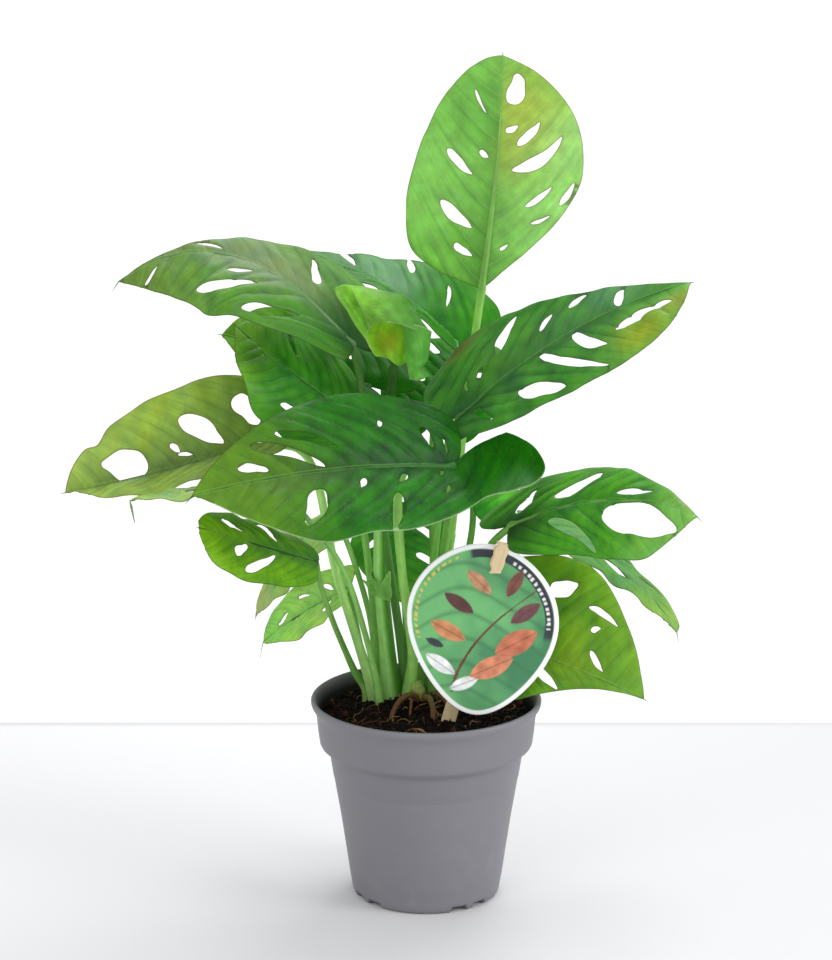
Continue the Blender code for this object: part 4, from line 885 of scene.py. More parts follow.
LEAVES = {
    "leaf_top": dict(
        rib=((28, 8, 320), (35, 2, 383), (38, 14, 437)), left=(78, 0, 382), right=(-10, 12, 364),
        curl=(.3, .3), lobes=(-.16, -.03), base=(.13, .03), tips=((.08, .5), (0, .62)),
        stalk=((5, 21), (12, 18, 180), (21, 17, 262), (25, 15, 296)), girth=(2.6, 2),
        holes=(("l", .73, .14, .86, .18, 4.8), ("l", .63, .07, .62, .21, 1.7),
            ("l", .53, .22, .565, .46, 2.2), ("l", .435, .18, .43, .73, 2.8, -.12),
            ("l", .235, .375, .24, .66, 1.4), ("l", .135, .77, .19, .91, 1.5),
            ("l", .145, .46, .12, .68, .9), ("l", .12, .14, .12, .23, 1), ("r", .75, .3, .68, .16, .9),
            ("r", .5, .21, .505, .1, 1.5), ("r", .385, .58, .375, .27, 2.3), ("r", .15, .6, .17, .21, 2.9),
            ("r", .04, .39, .07, .165, 1.9)),
        tones=((76, 156, 44), (140, 216, 78), (140, 210, 96)), lively=.4, stalk_tone=(160, 214, 116),
        rib_tone=(150, 204, 108),
        patches=((.7, -.3, 24, .85, (206, 212, 84)), (.56, -.16, 9, .6, (180, 190, 56)),
            (0, -.5, 9, .55, (206, 190, 100)), (.3, -.8, 34, .6, (194, 242, 166)),
            (.62, -.85, 16, .5, (204, 244, 178)), (.42, .8, 30, .55, (180, 236, 146)),
            (.75, .3, 14, .35, (92, 176, 70)))),
    "leaf_upper_right": dict(
        rib=((16, -20, 260), (71, -32, 305), (127, -62, 336)), left=(30, 5, 302), right=(79, -70, 289),
        wave=0, lobes=(.07, .06), tips=((.35, .3, .08), (-.05, .85)), nick=((.5, 0, 1), (-.05, .16, .12)),
        stalk=((3, 12), (8, 8, 170), (13, -8, 225)), girth=(2.8, 1.9), drip=(1.6, -.4, .3),
        holes=(("l", .115, .36, .11, .75, 2.6), ("l", .06, .22, .06, .34, 1.1),
            ("l", -.02, .36, .015, .2, 1.4), ("l", .32, .26, .35, .38, 1.4), ("l", .415, .36, .47, .42, 1.6),
            ("l", .69, .04, .675, .22, 2.7), ("r", .02, .16, -.065, .62, 2.3), ("r", .1, .52, .2, .87, 4.2),
            ("r", .35, .04, .41, .9, 2.6, -.09), ("r", .5, .05, .5, .62, 3, -.1),
            ("r", .59, .42, .87, .27, 3.3, -.02)),
        tones=((46, 114, 52), (78, 158, 50), (114, 186, 80)), rib_tone=(70, 128, 60),
        # The greyish blue patch along the midrib at (.5, -.1) is a painted sheen.
        patches=((.84, .62, 12, .85, (172, 186, 44)), (.98, .3, 8, .7, (170, 176, 70)),
            (.12, -.95, 7, .65, (132, 96, 54)), (.5, -.1, 22, .3, (116, 170, 104)),
            (.2, -.3, 16, .35, (96, 156, 40)), (.72, -.3, 12, .45, (130, 186, 150)),
            (0, .1, 17, .7, (26, 88, 34)))),
    "leaf_right": dict(
        rib=((43, -28, 206), (90, -52, 225), (131, -84, 225)), left=(73, -8, 229), right=(95, -80, 202),
        wave=.6, lobes=(.16, .04), tips=((.3, .35, .12), (.06, .5)),
        stalk=((9, 15), (14, 10, 140), (30, -10, 186)), girth=(2.6, 1.8), drip=(2, -1, -2),
        holes=(("l", -.04, .2, -.09, .62, 2.8, .08), ("l", .13, .25, .22, .62, 4.8, .08),
            ("l", .49, .13, .64, .22, 1.6, .02), ("r", .385, .3, .83, .35, 8.5, 0),
            ("r", .125, .2, .17, .9, 3.8, .04)),
        tones=((57, 133, 44), (86, 173, 38), (136, 202, 94)), rib_tone=(120, 176, 80),
        patches=((.95, -.2, 9, .7, (166, 176, 84)), (0, .1, 16, .9, (18, 72, 18)),
            (.3, -.5, 14, .3, (110, 190, 50)))),
    "leaf_lower_right": dict(
        rib=((36, -8, 139), (75, -22, 128), (112, -20, 111)), left=(80, 4, 178), right=(44, -26, 113),
        wave=.8, tips=((.12, .36), (.5, .12, .1)), wide=(.38, .15),
        stalk=((16, 9), (18, 6, 112), (26, 0, 130)),
        holes=(("l", .07, .59, .17, .77, 4.3, 0), ("l", .32, .6, .55, .53, 1.8, .06),
            ("l", .43, .39, .47, .45, 1.5), ("l", .51, .22, .665, .08, 1.7), ("r", .19, .12, .27, .5, 3)),
        tones=((96, 156, 50), (122, 178, 44), (138, 188, 66)), stalk_tone=(148, 206, 100),
        rib_tone=(120, 160, 60),
        patches=((.5, .02, 14, .7, (140, 176, 40)), (.25, -.55, 14, .55, (84, 146, 24)),
            (.6, .3, 10, .5, (84, 140, 60)), (.45, -.3, 9, .5, (156, 196, 40)),
            (.12, .3, 12, .5, (76, 140, 34)))),
    "leaf_right_back": dict(
        rib=((62, 25, 190), (102, 32, 168), (132, 22, 134)), left=(120, 60, 150), right=(99, 8, 164),
        stalk=((16, 24), (24, 26, 140), (44, 25, 182)), girth=(2.4, 1.6), drip=(1, 0, -5),
        holes=(("l", .3, .25, .42, .5, 1.2), ("r", .25, .3, .4, .6, 1.6), ("l", .55, .2, .6, .5, 1.4)),
        tones=((81, 146, 78), (96, 163, 71), (139, 184, 73)), rib_tone=(110, 168, 80),
        patches=((.1, .2, 20, .4, (96, 150, 112)),)),
    "leaf_front": dict(
        rib=((13, -55, 243), (-49, -92, 250), (-111, -118, 244)), left=(-39, -118, 223),
        right=(-38, -62, 281), lobes=(.325, .04), base=(.13, 0), tips=((.1, .3), (.1, .42)), ear=(21, 0),
        nick=((-.06, .22, .12), (.5, 0, 1)), pale_rim=1,
        stalk=((-9, 6), (-7, 1, 130), (-12, -4, 172), (-14.5, -12, 214), (-8, -34, 239)), girth=(3.2, 2.2),
        drip=(-3, -1, -3),
        holes=(("r", .62, .44, .48, .05, 2.9), ("r", .49, .55, .36, .27, 2.4),
            ("r", .755, .2, .675, .1, 2.4), ("r", .115, .5, .1, .58, 1.4), ("r", -.04, .5, .005, .23, 2.2),
            ("r", -.08, .36, -.02, .15, .8), ("l", .455, .3, .42, .76, 4.6), ("l", .31, .2, .305, .34, 1.6),
            ("l", .165, .15, .155, .3, 1.8), ("l", .03, .06, .02, .17, 1), ("l", -.045, .34, -.055, .5, 1.2),
            ("l", .135, .46, .045, .92, 3.5)),
        tones=((20, 82, 26), (36, 123, 18), (108, 158, 36)), matt=(1, .1, -.1), stalk_tone=(158, 214, 112),
        rib_tone=(62, 118, 52),
        # The small dark patch at (0, -.35) is painted shade in a fold.
        patches=((.75, 0, 26, .6, (104, 146, 42)), (.05, .75, 26, .45, (26, 74, 30)),
            (.3, .85, 12, .4, (44, 128, 20)), (-.24, -.3, 24, .9, (22, 92, 10)),
            (0, -.35, 8, .5, (16, 66, 16)), (-.23, -.6, 5, .55, (96, 146, 90)),
            (-.14, -.62, 6, .5, (84, 136, 80)))),
    "leaf_left": dict(
        rib=((-89, -20, 245), (-132, -50, 239), (-176, -72, 234)), left=(-132, -73, 234),
        right=(-114, -26, 280), tips=((.1, .4), (.03, .7)), nick=((.5, 0, 1), (.81, .17, .05)),
        stalk=((-27.5, 8), (-46, -1, 172), (-60, -10, 236)), girth=(3, 1.9),
        holes=(("r", .54, .07, .72, .27, 7.2), ("r", .18, .6, .1, .14, 4.8),
            ("r", -.15, .66, -.14, .24, 5.6), ("r", .34, .31, .33, .18, 1.6), ("r", .35, .16, .28, .1, 1)),
        tones=((148, 180, 96), (164, 194, 88), (172, 200, 104)), stalk_tone=(190, 232, 150),
        rib_tone=(128, 156, 96),
        patches=((.1, .3, 16, .4, (130, 164, 74)), (.42, -.05, 12, .65, (136, 156, 110)),
            (.2, -.1, 12, .5, (140, 164, 108)), (.65, .05, 9, .5, (132, 150, 100)),
            (.5, .75, 14, .35, (190, 220, 70)))),
    "leaf_left_low": dict(
        rib=((-84, -86, 243), (-114, -98, 242), (-142, -102, 238)), left=(-113, -108, 240),
        right=(-112, -86, 240),
        stalk=((-24.5, 1.5), (-31, -6, 140), (-44, -24, 185), (-70, -62, 231)), girth=(2, 1.4),
        drip=(2.2, -1, -9.5), hook=3.6,
        holes=(("l", .45, .3, .2, .6, 1.8), ("r", .4, .3, .3, .6, 1.6)),
        tones=((142, 190, 119), (176, 211, 128), (187, 224, 122)), stalk_tone=(148, 206, 110),
        rib_tone=(130, 168, 100),
        patches=((.3, .3, 20, .4, (140, 150, 120)),)),
    "leaf_upper_left": dict(
        rib=((-37, -20, 297), (-94, -40, 345), (-148, -70, 338)), left=(-97, -70, 321), right=(-43, 20, 331),
        curl=(-.5, -.2), lobes=(.02, .06), base=(.08, 0), tips=((.1, .45), (.66, .06, .03)), wide=(.45, .15),
        stalk=((-10, 18), (-22, 23, 190), (-31, 10, 250), (-34, -4, 278)), girth=(2.8, 1.9),
        drip=(-3, -1, -4),
        holes=(("l", .84, .26, .81, .1, 1), ("l", .44, .28, .36, .17, 1.3), ("l", .49, .62, .27, .36, 3.2),
            ("l", .14, .85, .04, .45, 3.4), ("r", .1, .3, .05, .6, 2.8), ("r", .53, .07, .64, .09, .8)),
        tones=((84, 132, 62), (92, 152, 46), (112, 148, 60)), stalk_tone=(100, 156, 72),
        rib_tone=(112, 140, 96),
        # The three greyish patches along the midrib at v .24, .42 and .7 are a painted grey-purple sheen.
        patches=((.42, 0, 18, .55, (140, 150, 122)), (.7, .2, 16, .35, (150, 156, 110)),
            (.12, -.7, 20, .6, (52, 134, 22)), (.24, .2, 15, .5, (146, 160, 112)),
            (0, -.02, 17, .9, (24, 88, 36)), (.08, .6, 9, .6, (40, 110, 64)))),
    "leaf_back_top": dict(
        rib=((15, 38, 286), (-25, 52, 316), (-75, 62, 331)), left=(-27, 23, 317), right=(24, 90, 310),
        curl=(-.5, -.1), lobes=(.1, .1), tips=((.1, .4), (.4, .15, .1)), wide=(.4, .15),
        stalk=((-2, 30), (5, 34, 180), (14, 36, 255)), girth=(2.6, 1.8),
        holes=(("r", .66, .25, .62, .06, 2.2), ("r", .26, .4, .24, .62, 2), ("r", .02, .62, .06, .3, 1.2)),
        tones=((34, 112, 26), (52, 138, 12), (96, 164, 92)), matt=(.8, .4, .15), rib_tone=(86, 146, 84),
        # Both of its pale patches are a painted milky sheen.
        patches=((.5, .1, 18, .5, (120, 176, 132)), (.3, -.3, 14, .35, (110, 160, 110)))),
    "leaf_mid_left": dict(
        rib=((-40, -8, 259), (-69, -16, 283), (-95, -22, 307)), left=(-76, -41, 257), right=(-58, 22, 294),
        lobes=(.14, .02), tips=((.05, .45), (.1, .4)),
        stalk=((-23, 23), (-31, 18, 180), (-38, 4, 238)),
        holes=(("l", .72, .06, .62, .2, 1.2), ("l", .28, .62, .2, .5, 1.8), ("r", .4, .3, .5, .6, 2)),
        tones=((54, 146, 34), (92, 186, 38), (134, 192, 64)), rib_tone=(60, 122, 46),
        patches=((.1, .3, 26, .3, (34, 118, 22)), (.45, -.3, 22, .3, (84, 160, 84)),
            (.35, -.7, 24, .5, (36, 108, 24)), (.75, -.3, 13, .5, (48, 116, 30)),
            (.3, .6, 18, .45, (84, 176, 54)))),
    "leaf_back_left": dict(
        rib=((-30, 42, 262), (-70, 62, 275), (-108, 70, 284)), left=(-78, 29, 262), right=(-66, 97, 291),
        lobes=(.2, .2),
        stalk=((-17, 33), (-24, 38, 180), (-29, 42, 236)),
        holes=(("l", .3, .3, .4, .6, 2), ("r", .3, .3, .4, .7, 2.4), ("r", .1, .3, .1, .7, 2)),
        tones=((26, 108, 8), (40, 126, 8), (98, 156, 24)), matt=ALL_MATT, rib_tone=(70, 130, 54)),
    "leaf_lower_left": dict(
        rib=((-55, -48, 192), (-82, -84, 211), (-108, -112, 227)), left=(-88, -104, 199),
        right=(-86, -66, 219), wave=.8, lobes=(-.02, .05), tips=((0, .62), (0, .62)),
        stalk=((-31.5, 13), (-37, 9.5, 116), (-43, -1, 134), (-48, -12, 151), (-53, -36, 176)),
        girth=(1.9, 1.5),
        holes=(("r", .63, .47, .53, .24, 2.2), ("r", .2, .74, .235, .27, 2.6),
            ("l", .6, .42, .565, .12, 2.8), ("l", .4, .76, .31, .17, 2.6)),
        tones=((81, 152, 28), (121, 185, 19), (140, 198, 29)), stalk_tone=(128, 184, 88),
        rib_tone=(62, 110, 30),
        patches=((.02, .1, 22, .5, (60, 132, 44)), (.5, -.5, 14, .45, (140, 196, 20)),
            (.45, .5, 12, .4, (72, 140, 20)))),
    "leaf_low_left": dict(
        rib=((-41, 21, 158), (-63, 33, 143), (-87, 45, 122)), left=(-64, 16, 135), right=(-68, 58, 149),
        wave=1, lobes=(.04, .08), tips=((.05, .45), (.05, .5)),
        stalk=((-30, 21), (-33, 21, 120), (-38, 20, 146)), girth=(2, 1.5), drip=(-2, 0, -9),
        holes=(("r", .44, .47, .35, .33, 1.1), ("r", .18, .42, .13, .14, 1.4), ("r", .79, .1, .62, .22, 1.4),
            ("l", .68, .16, .5, .06, 1.6), ("l", .12, .5, .12, .15, 2.3)),
        tones=((161, 224, 115), (190, 236, 118), (164, 234, 109)), stalk_tone=(158, 212, 118),
        rib_tone=(130, 184, 88)),
    "leaf_low_left_back": dict(
        rib=((-50, 60, 185), (-76, 78, 160), (-93, 84, 124)), left=(-74, 58, 148), right=(-82, 96, 152),
        stalk=((-26, 31), (-30, 36, 140), (-42, 50, 176)), girth=(2, 1.4),
        holes=(("l", .4, .3, .5, .6, 1.6), ("r", .3, .3, .4, .7, 1.8)),
        tones=((137, 213, 111), (173, 213, 106), (185, 200, 111)), stalk_tone=(158, 212, 118),
        rib_tone=(140, 170, 96),
        patches=((.5, 0, 16, .5, (170, 150, 90)),)),
    "leaf_low_back": dict(
        rib=((-14, 54, 196), (-15, 72, 168), (-12, 84, 132)), left=(16, 78, 170), right=(-40, 68, 170),
        lobes=(.04, .12),
        stalk=((-9, 38), (-11, 43, 140), (-13, 48, 176)), girth=(2.2, 1.6),
        holes=(("l", .2, .3, .3, .7, 2), ("r", .3, .3, .3, .7, 2), ("l", .5, .3, .55, .6, 1.8)),
        tones=((67, 152, 61), (89, 181, 55), (117, 200, 67)), matt=ALL_MATT, rib_tone=(70, 130, 54)),
    "leaf_back": dict(
        rib=((4, 54, 242), (14, 86, 264), (30, 122, 270)), left=(-20, 92, 262), right=(48, 76, 256),
        stalk=((4, 35), (4, 40, 150), (3, 48, 212)),
        holes=REAR_HOLES,
        tones=((24, 104, 6), (40, 134, 8), (54, 134, 20)), matt=ALL_MATT, rib_tone=(70, 130, 54)),
    "leaf_right_rear": dict(
        rib=((25, 46, 198), (35, 76, 213), (45, 106, 212)), left=(10, 94, 206), right=(54, 70, 206),
        lobes=(.08, .12),
        stalk=((13, 32), (18, 37, 150), (24, 43, 182)),
        holes=REAR_HOLES,
        tones=((62, 152, 51), (88, 188, 46), (116, 203, 55)), matt=ALL_MATT, rib_tone=(76, 134, 56)),
}


def grown_leaf(name, spec, seed, slot):
    """One leaf with its stalk as one piece that stands for the CAD node of that name."""
    spec = {**PLAIN_LEAF, **spec}
    blade = LeafBlade(spec)
    points, faces, layers = leaf_blade(blade, spec["holes"], seed)
    stalk = leaf_stalk(spec, blade)
    matt, matt_from, matt_to = spec["matt"]
    layers["tint"] = leaf_tones(layers, spec, seed)
    layers["pale_rim"] = spec["pale_rim"] * (layers["x"] < -.2) * (layers["margin_mm"] < 2)
    layers["dull"] = matt * fade(matt_from, matt_to, layers["v"])
    whole = joined([(points, faces, {key: layers[key] for key in stalk[2]}), stalk])
    worn(skin(name + "_grown", *whole), slot, light_leaf if slot == "light_leaf" else deep_leaf, name)


slot_of = {part["node"]: part["material_slot"] for part in frame["record"]["subparts"]}
for seed, (name, spec) in enumerate(LEAVES.items()):
    grown_leaf(name, spec, seed, slot_of[name])


# Main shoot: the thick climbing stem and the youngest leaf at its top, still soft and folded into a
# hood over a pocket. They grew as one piece; a dried bract is wrapped round the stem like a knot.
def patch(net, steps):
    """Grid of points through a net of given points in mm: a Catmull-Rom curve one way, then the other."""
    net = np.array(net, float)
    one = smooth_path(net.reshape(len(net), -1), steps).reshape(-1, net.shape[1], 3)
    two = smooth_path(one.transpose(1, 0, 2).reshape(net.shape[1], -1), steps)
    return two.reshape(len(two), -1, 3).transpose(1, 0, 2)


def sheet(net, steps, tones, seed, thick=.5, crinkle=.25):
    """A closed thin skin through a net of points: both faces half the thickness from it, moved by a fine
    crinkle, and a wall round the rim. The four tones are those of its corners, blended both ways."""
    grid = patch(net, steps)
    m, n, _ = grid.shape
    down, across = np.gradient(grid, axis=0), np.gradient(grid, axis=1)
    normal = unit(np.cross(down, across) + 1e-9)
    i, j = np.meshgrid(np.arange(m), np.arange(n), indexing="ij")
    size_i, size_j = np.linalg.norm(down, axis=2).mean(), np.linalg.norm(across, axis=2).mean()
    flat_x, flat_y = i * size_i, j * size_j
    edge = np.minimum(np.minimum(i, m - 1 - i) * size_i, np.minimum(j, n - 1 - j) * size_j)
    push = crinkle * (ripple(flat_x, flat_y, seed, 9) + .5 * ripple(flat_x, flat_y, seed + 5, 3.5))
    half = thick / 2 * (.5 + .5 * fade(0, .9, edge))
    faces_at = [(grid + normal * lift[..., None]).reshape(-1, 3) for lift in (push + half, push - half)]
    count, at = m * n, i * n + j
    a, b, c, d = at[:-1, :-1].ravel(), at[1:, :-1].ravel(), at[1:, 1:].ravel(), at[:-1, 1:].ravel()
    top = np.vstack([np.stack([a, b, c], -1), np.stack([a, c, d], -1)])
    loop = np.concatenate([at[:, 0], at[-1, 1:], at[-2::-1, -1], at[0, -2:0:-1]])
    b = np.roll(loop, -1)
    walls = [np.stack([b, loop, loop + count], -1), np.stack([b, loop + count, b + count], -1)]
    f, g = (i / (m - 1))[..., None], (j / (n - 1))[..., None]
    first, second, third, fourth = (paint(*tone) for tone in tones)
    colour = mixed(mixed(first, third, f), mixed(second, fourth, f), g)
    uneven = .22 * ripple(flat_x, flat_y, seed + 20, 8) + .12 * ripple(flat_x, flat_y, seed + 30, 3)
    colour = (colour * (1 + uneven)[..., None]).reshape(-1, 3)
    edge, flat_x, flat_y = (np.tile(values.ravel(), 2) for values in (edge, flat_x * MM, flat_y * MM))
    return np.vstack(faces_at), np.vstack([top, top[:, ::-1] + count] + walls), away_from_veins(
        2 * count, tint=np.tile(colour, (2, 1)), under=np.repeat([0, .5], count), rim_mm=edge,
        flat_x=flat_x, flat_y=flat_y)


path, radii = free_stalk(dict(
    rib=((-17, -8, 281),), girth=(4.2, 2.2), sheath=.8,
    stalk=((-18.5, 11), (-23, 8.5, 150), (-24.5, 8, 180), (-23, 7, 218), (-19, 3, 262))))
points, faces, along, angle = sweep(
    np.vstack([path, [(-16, -7.5, 285), (-16, -9, 291)]]), np.append(radii, [1.6, .9]), (1, 0, 0), 20,
    lambda a, row: 1 + .035 * np.sin(5 * a + row * .06))
streak = 1 + .14 * np.sin(2 * angle + 1.2 * np.sin(along / 40)) + .08 * np.sin(7 * angle + along / 30)
# The stem is painted lighter on its left, lit side and darker on its right, shaded side, and it is darker
# towards the top.
lit_and_shaded_stem_tone = mixed(paint(186, 242, 146), paint(80, 146, 40), fade(-.25, .85, np.sin(angle))[:, None])
lit_and_shaded_stem_tone = mixed(lit_and_shaded_stem_tone, paint(66, 124, 44), fade(200, 262, points[:, 2])[:, None]) * streak[:, None]
stem = (points, faces, away_from_veins(
    len(points), tint=lit_and_shaded_stem_tone, flat_x=along * MM, flat_y=angle * 4 * MM, under=np.full(len(points), .3)))
# The nets of points in mm: the young leaf's wing and hood, which share a ridge, the pocket under the hood
# with the flap in front of it, and the bract as a band round the stem with two points.
ridge = [(-37, -18, 326.5), (-35, -22.5, 322), (-32.5, -24.5, 317.5), (-30.5, -24, 312), (-28, -22, 306)]
wing = [[(-46, -18, 325), (-44.5, -19.5, 321), (-40, -19.5, 314.5), (-36, -18, 307), (-30.5, -17, 299)],
        [(-42, -18.5, 327), (-40, -18.5, 322), (-36, -18.5, 315.5), (-32.5, -17.5, 309.5), (-29, -17.5, 302)],
        ridge]
hood = [ridge,
        [(-29.5, -12, 324.5), (-27, -20.5, 321.5), (-25.5, -25.5, 317.5), (-24, -28, 314),
         (-22.5, -28, 310.5)],
        [(-21, -9.5, 322), (-19, -18, 320), (-18, -24, 317), (-17, -29, 314), (-15.5, -30.5, 310)],
        [(-13.5, -9.5, 320.5), (-11, -17, 317.5), (-9.5, -23, 314), (-8.5, -27, 310), (-7.5, -28, 306.5)],
        [(-8, -9.5, 318), (-5, -13, 312), (-2.5, -17, 308.5), (0, -20.5, 305.5), (2.5, -23, 303)]]
pocket = [[(-28, -21, 307), (-30.5, -18, 301), (-29.5, -17, 297), (-27.5, -16.5, 293), (-25.5, -15.5, 290)],
          [(-23, -19.5, 309), (-24, -13, 302), (-23, -11.5, 296.5), (-21.5, -12, 292), (-20, -12.5, 288.5)],
          [(-17, -20.5, 308.5), (-17.5, -13, 301), (-17, -11.5, 295), (-16.5, -12, 290), (-15.5, -12, 285)],
          [(-11.5, -18, 308), (-12, -14, 300), (-12.5, -13, 295), (-13, -12.5, 289.5), (-13.5, -12, 284.5)],
          [(-6, -19, 309), (-7.5, -19, 300), (-8.5, -19, 295), (-9.5, -19, 290), (-10.5, -17, 287)]]
flap = [[(-11.5, -24, 308), (-11, -21.5, 299), (-10.5, -20.5, 291.5), (-9.5, -20, 285), (-8.5, -19.5, 279)],
        [(-6.5, -26.5, 308.5), (-6.5, -25.5, 299), (-6, -25, 291.5), (-5.5, -24, 285.5), (-4.5, -24, 279.5)],
        [(-1.5, -25, 307), (-2, -25.5, 298.5), (-2.5, -25, 291), (-3.5, -24, 286), (-1.5, -22, 280)],
        [(2.5, -22, 304), (1.5, -22, 295.5), (.5, -21.5, 289.5), (-2, -20, 285), (1.5, -18, 280.5)]]
bract = [[(-24 + out * math.cos(a), 8.2 + out * math.sin(a), z - dip * math.cos(a + late))
          for out, z, dip, late in ((5.3, 158.5, 2.6, 0), (6.0, 163, 2.8, 0), (5.1, 168, 3.2, .5))]
         for a in np.radians(np.linspace(-200, 150, 9))]
left_point = [[(-26, 2.8, 160.5), (-27.4, 2.0, 163.6), (-27.6, 3, 167)],
              [(-29, 1.6, 162.8), (-29.8, .6, 165), (-30, 1.8, 167.6)],
              [(-32.6, .6, 168.4), (-32.8, .4, 168.8), (-33, .6, 169.2)]]
right_point = [[(-20, 3.6, 160), (-21.6, 2.6, 162.6), (-24, 2.2, 164.6)],
               [(-18.4, 3.2, 165.4), (-20.2, 2.0, 167), (-22, 2, 168.8)],
               [(-18.4, 2.6, 172.6), (-18.8, 2.4, 173), (-19.2, 2.6, 173.4)]]
fresh, pale, sea = (158, 226, 66), (148, 206, 90), (90, 168, 70)
moss = ((152, 214, 108), (132, 200, 92), (156, 216, 116), (134, 200, 98))
inner = sheet(pocket, 9, ((178, 232, 64), (170, 230, 70), (140, 206, 48), (120, 196, 44)), 62)
amber = .85 * hill(np.linalg.norm((inner[0] - (-19, -13, 297)) / (6, 9, 7), axis=1), 1)[:, None]
inner[2]["tint"] = mixed(inner[2]["tint"], paint(176, 186, 30), amber)
shoot = joined([
    stem, sheet(wing, 9, (pale, fresh, fresh, pale), 60), sheet(hood, 9, (fresh, pale, sea, sea), 61), inner,
    sheet(flap, 9, ((112, 194, 76), (134, 208, 96), (112, 194, 76), (116, 196, 88)), 63),
    sheet(bract, 6, moss, 64, .5, .4), sheet(left_point, 5, moss, 65, .4),
    sheet(right_point, 5, moss, 66, .4)])
worn(skin("main_shoot_grown", *shoot), "young_leaf", young_leaf, "main_shoot")


# Old stem stub: the dried foot of an older stem, knobbly at its node, with short aerial roots that arch
# over a hollow and into the soil.
def weathered(points, top, low, high):
    """Colour of each point: dried brown below the one height, the given tone above the other."""
    share = np.clip((points[:, 2:] - low) / (high - low), 0, 1)
    spots = (1 + .3 * ripple(points[:, 0] + points[:, 2], points[:, 1] - points[:, 2], 8, 5))[:, None]
    return mixed(paint(104, 62, 38), paint(*top), share) * spots


stub_path = smooth_path([(-3, 1, 90), (-3, 1, 100), (-3.8, 1.4, 107), (-5.6, 2.4, 113.5)], 8)
stub_radii = np.interp(stub_path[:, 2], (90, 102, 105, 107, 109, 113.5), (3.4, 3.5, 4.0, 3.5, 3.5, 2.6))
points, faces, *_ = sweep(stub_path, stub_radii, (1, 0, 0), 18,
                          lambda a, row: 1 + .07 * np.sin(5 * a + row * .3) + .05 * np.sin(row * 1.9))
bits = [(points, faces, {"tone": weathered(points, (140, 166, 84), 103, 112)})]
for thick, top, *course in (
        (1.45, (92, 66, 40), (-4, -1, 105), (-8, -5, 108.5), (-13, -9, 107.5), (-17, -13, 102),
         (-19, -16, 96)),
        (1.55, (100, 88, 48), (-1, -1.5, 106), (1.5, -6, 107), (3.2, -10, 104), (3.6, -15, 99),
         (3.4, -19, 94)),
        (.8, (104, 58, 42), (-5, -1, 104), (-7.5, -6, 106), (-8, -11, 104), (-8.6, -15, 98)),
        (1.1, (100, 82, 50), (-2, 3, 104), (4, 5, 106), (9, 4, 103), (12, 2, 96))):
    route = smooth_path(course, 8)
    slim = thick * (1.15 - .35 * np.linspace(0, 1, len(route)))
    points, faces, *_ = sweep(route, slim, (.6, .2, .2), 10,
                              lambda a, row: 1 + .08 * np.sin(3 * a + row * .9))
    bits.append((points, faces, {"tone": weathered(points, top, 98, 108)}))
dried = grained_finish("dried_stem", .74, .3, 900.0, .4, .0004, .8)[0]
worn(skin("old_stem_and_roots", *joined(bits)), "dried_stem", dried, "old_stem_stub")


# Plant label: a die-cut printed card with a white border, held by a raw wooden stick that passes through
# a slot near its top and stands in the soil. The print is a plain sprig of leaves on a green ground.
CARD_WIDTH, CARD_HEIGHT, CARD_THICK, CARD_BORDER = 73.0, 90.0, .9, 2.4
CARD_BEVEL, BEVEL_INSET, CARD_SQUAT = .04, .9985, .955
CARD_AT, CARD_LEAN, CARD_BOW = (28, -34, 152.5), math.radians(-6), .0006


def card_edge(a):
    """The card's outline at an angle from its top, going round to the right: (across, up) in mm."""
    wide = CARD_WIDTH / 2 * np.sin(a) * (1 + .16 * np.cos(a) - .05 * np.cos(2 * a))
    tall = CARD_HEIGHT / 2 * np.cos(a) * (1 + .05 * np.cos(a) ** 2) - 2 * np.sin(a)
    return np.stack([wide, tall * CARD_SQUAT], -1)


def card_place(flat, lift):
    """Points of the card in mm from its own flat coordinates and their height over its middle plane,
    with a slight bow across it."""
    x = flat[..., 0] * math.cos(CARD_LEAN) - flat[..., 1] * math.sin(CARD_LEAN)
    z = flat[..., 0] * math.sin(CARD_LEAN) + flat[..., 1] * math.cos(CARD_LEAN)
    across, away, up = CARD_AT
    return np.stack([across + x, away - lift + CARD_BOW * flat[..., 0] ** 2, up + z], -1)


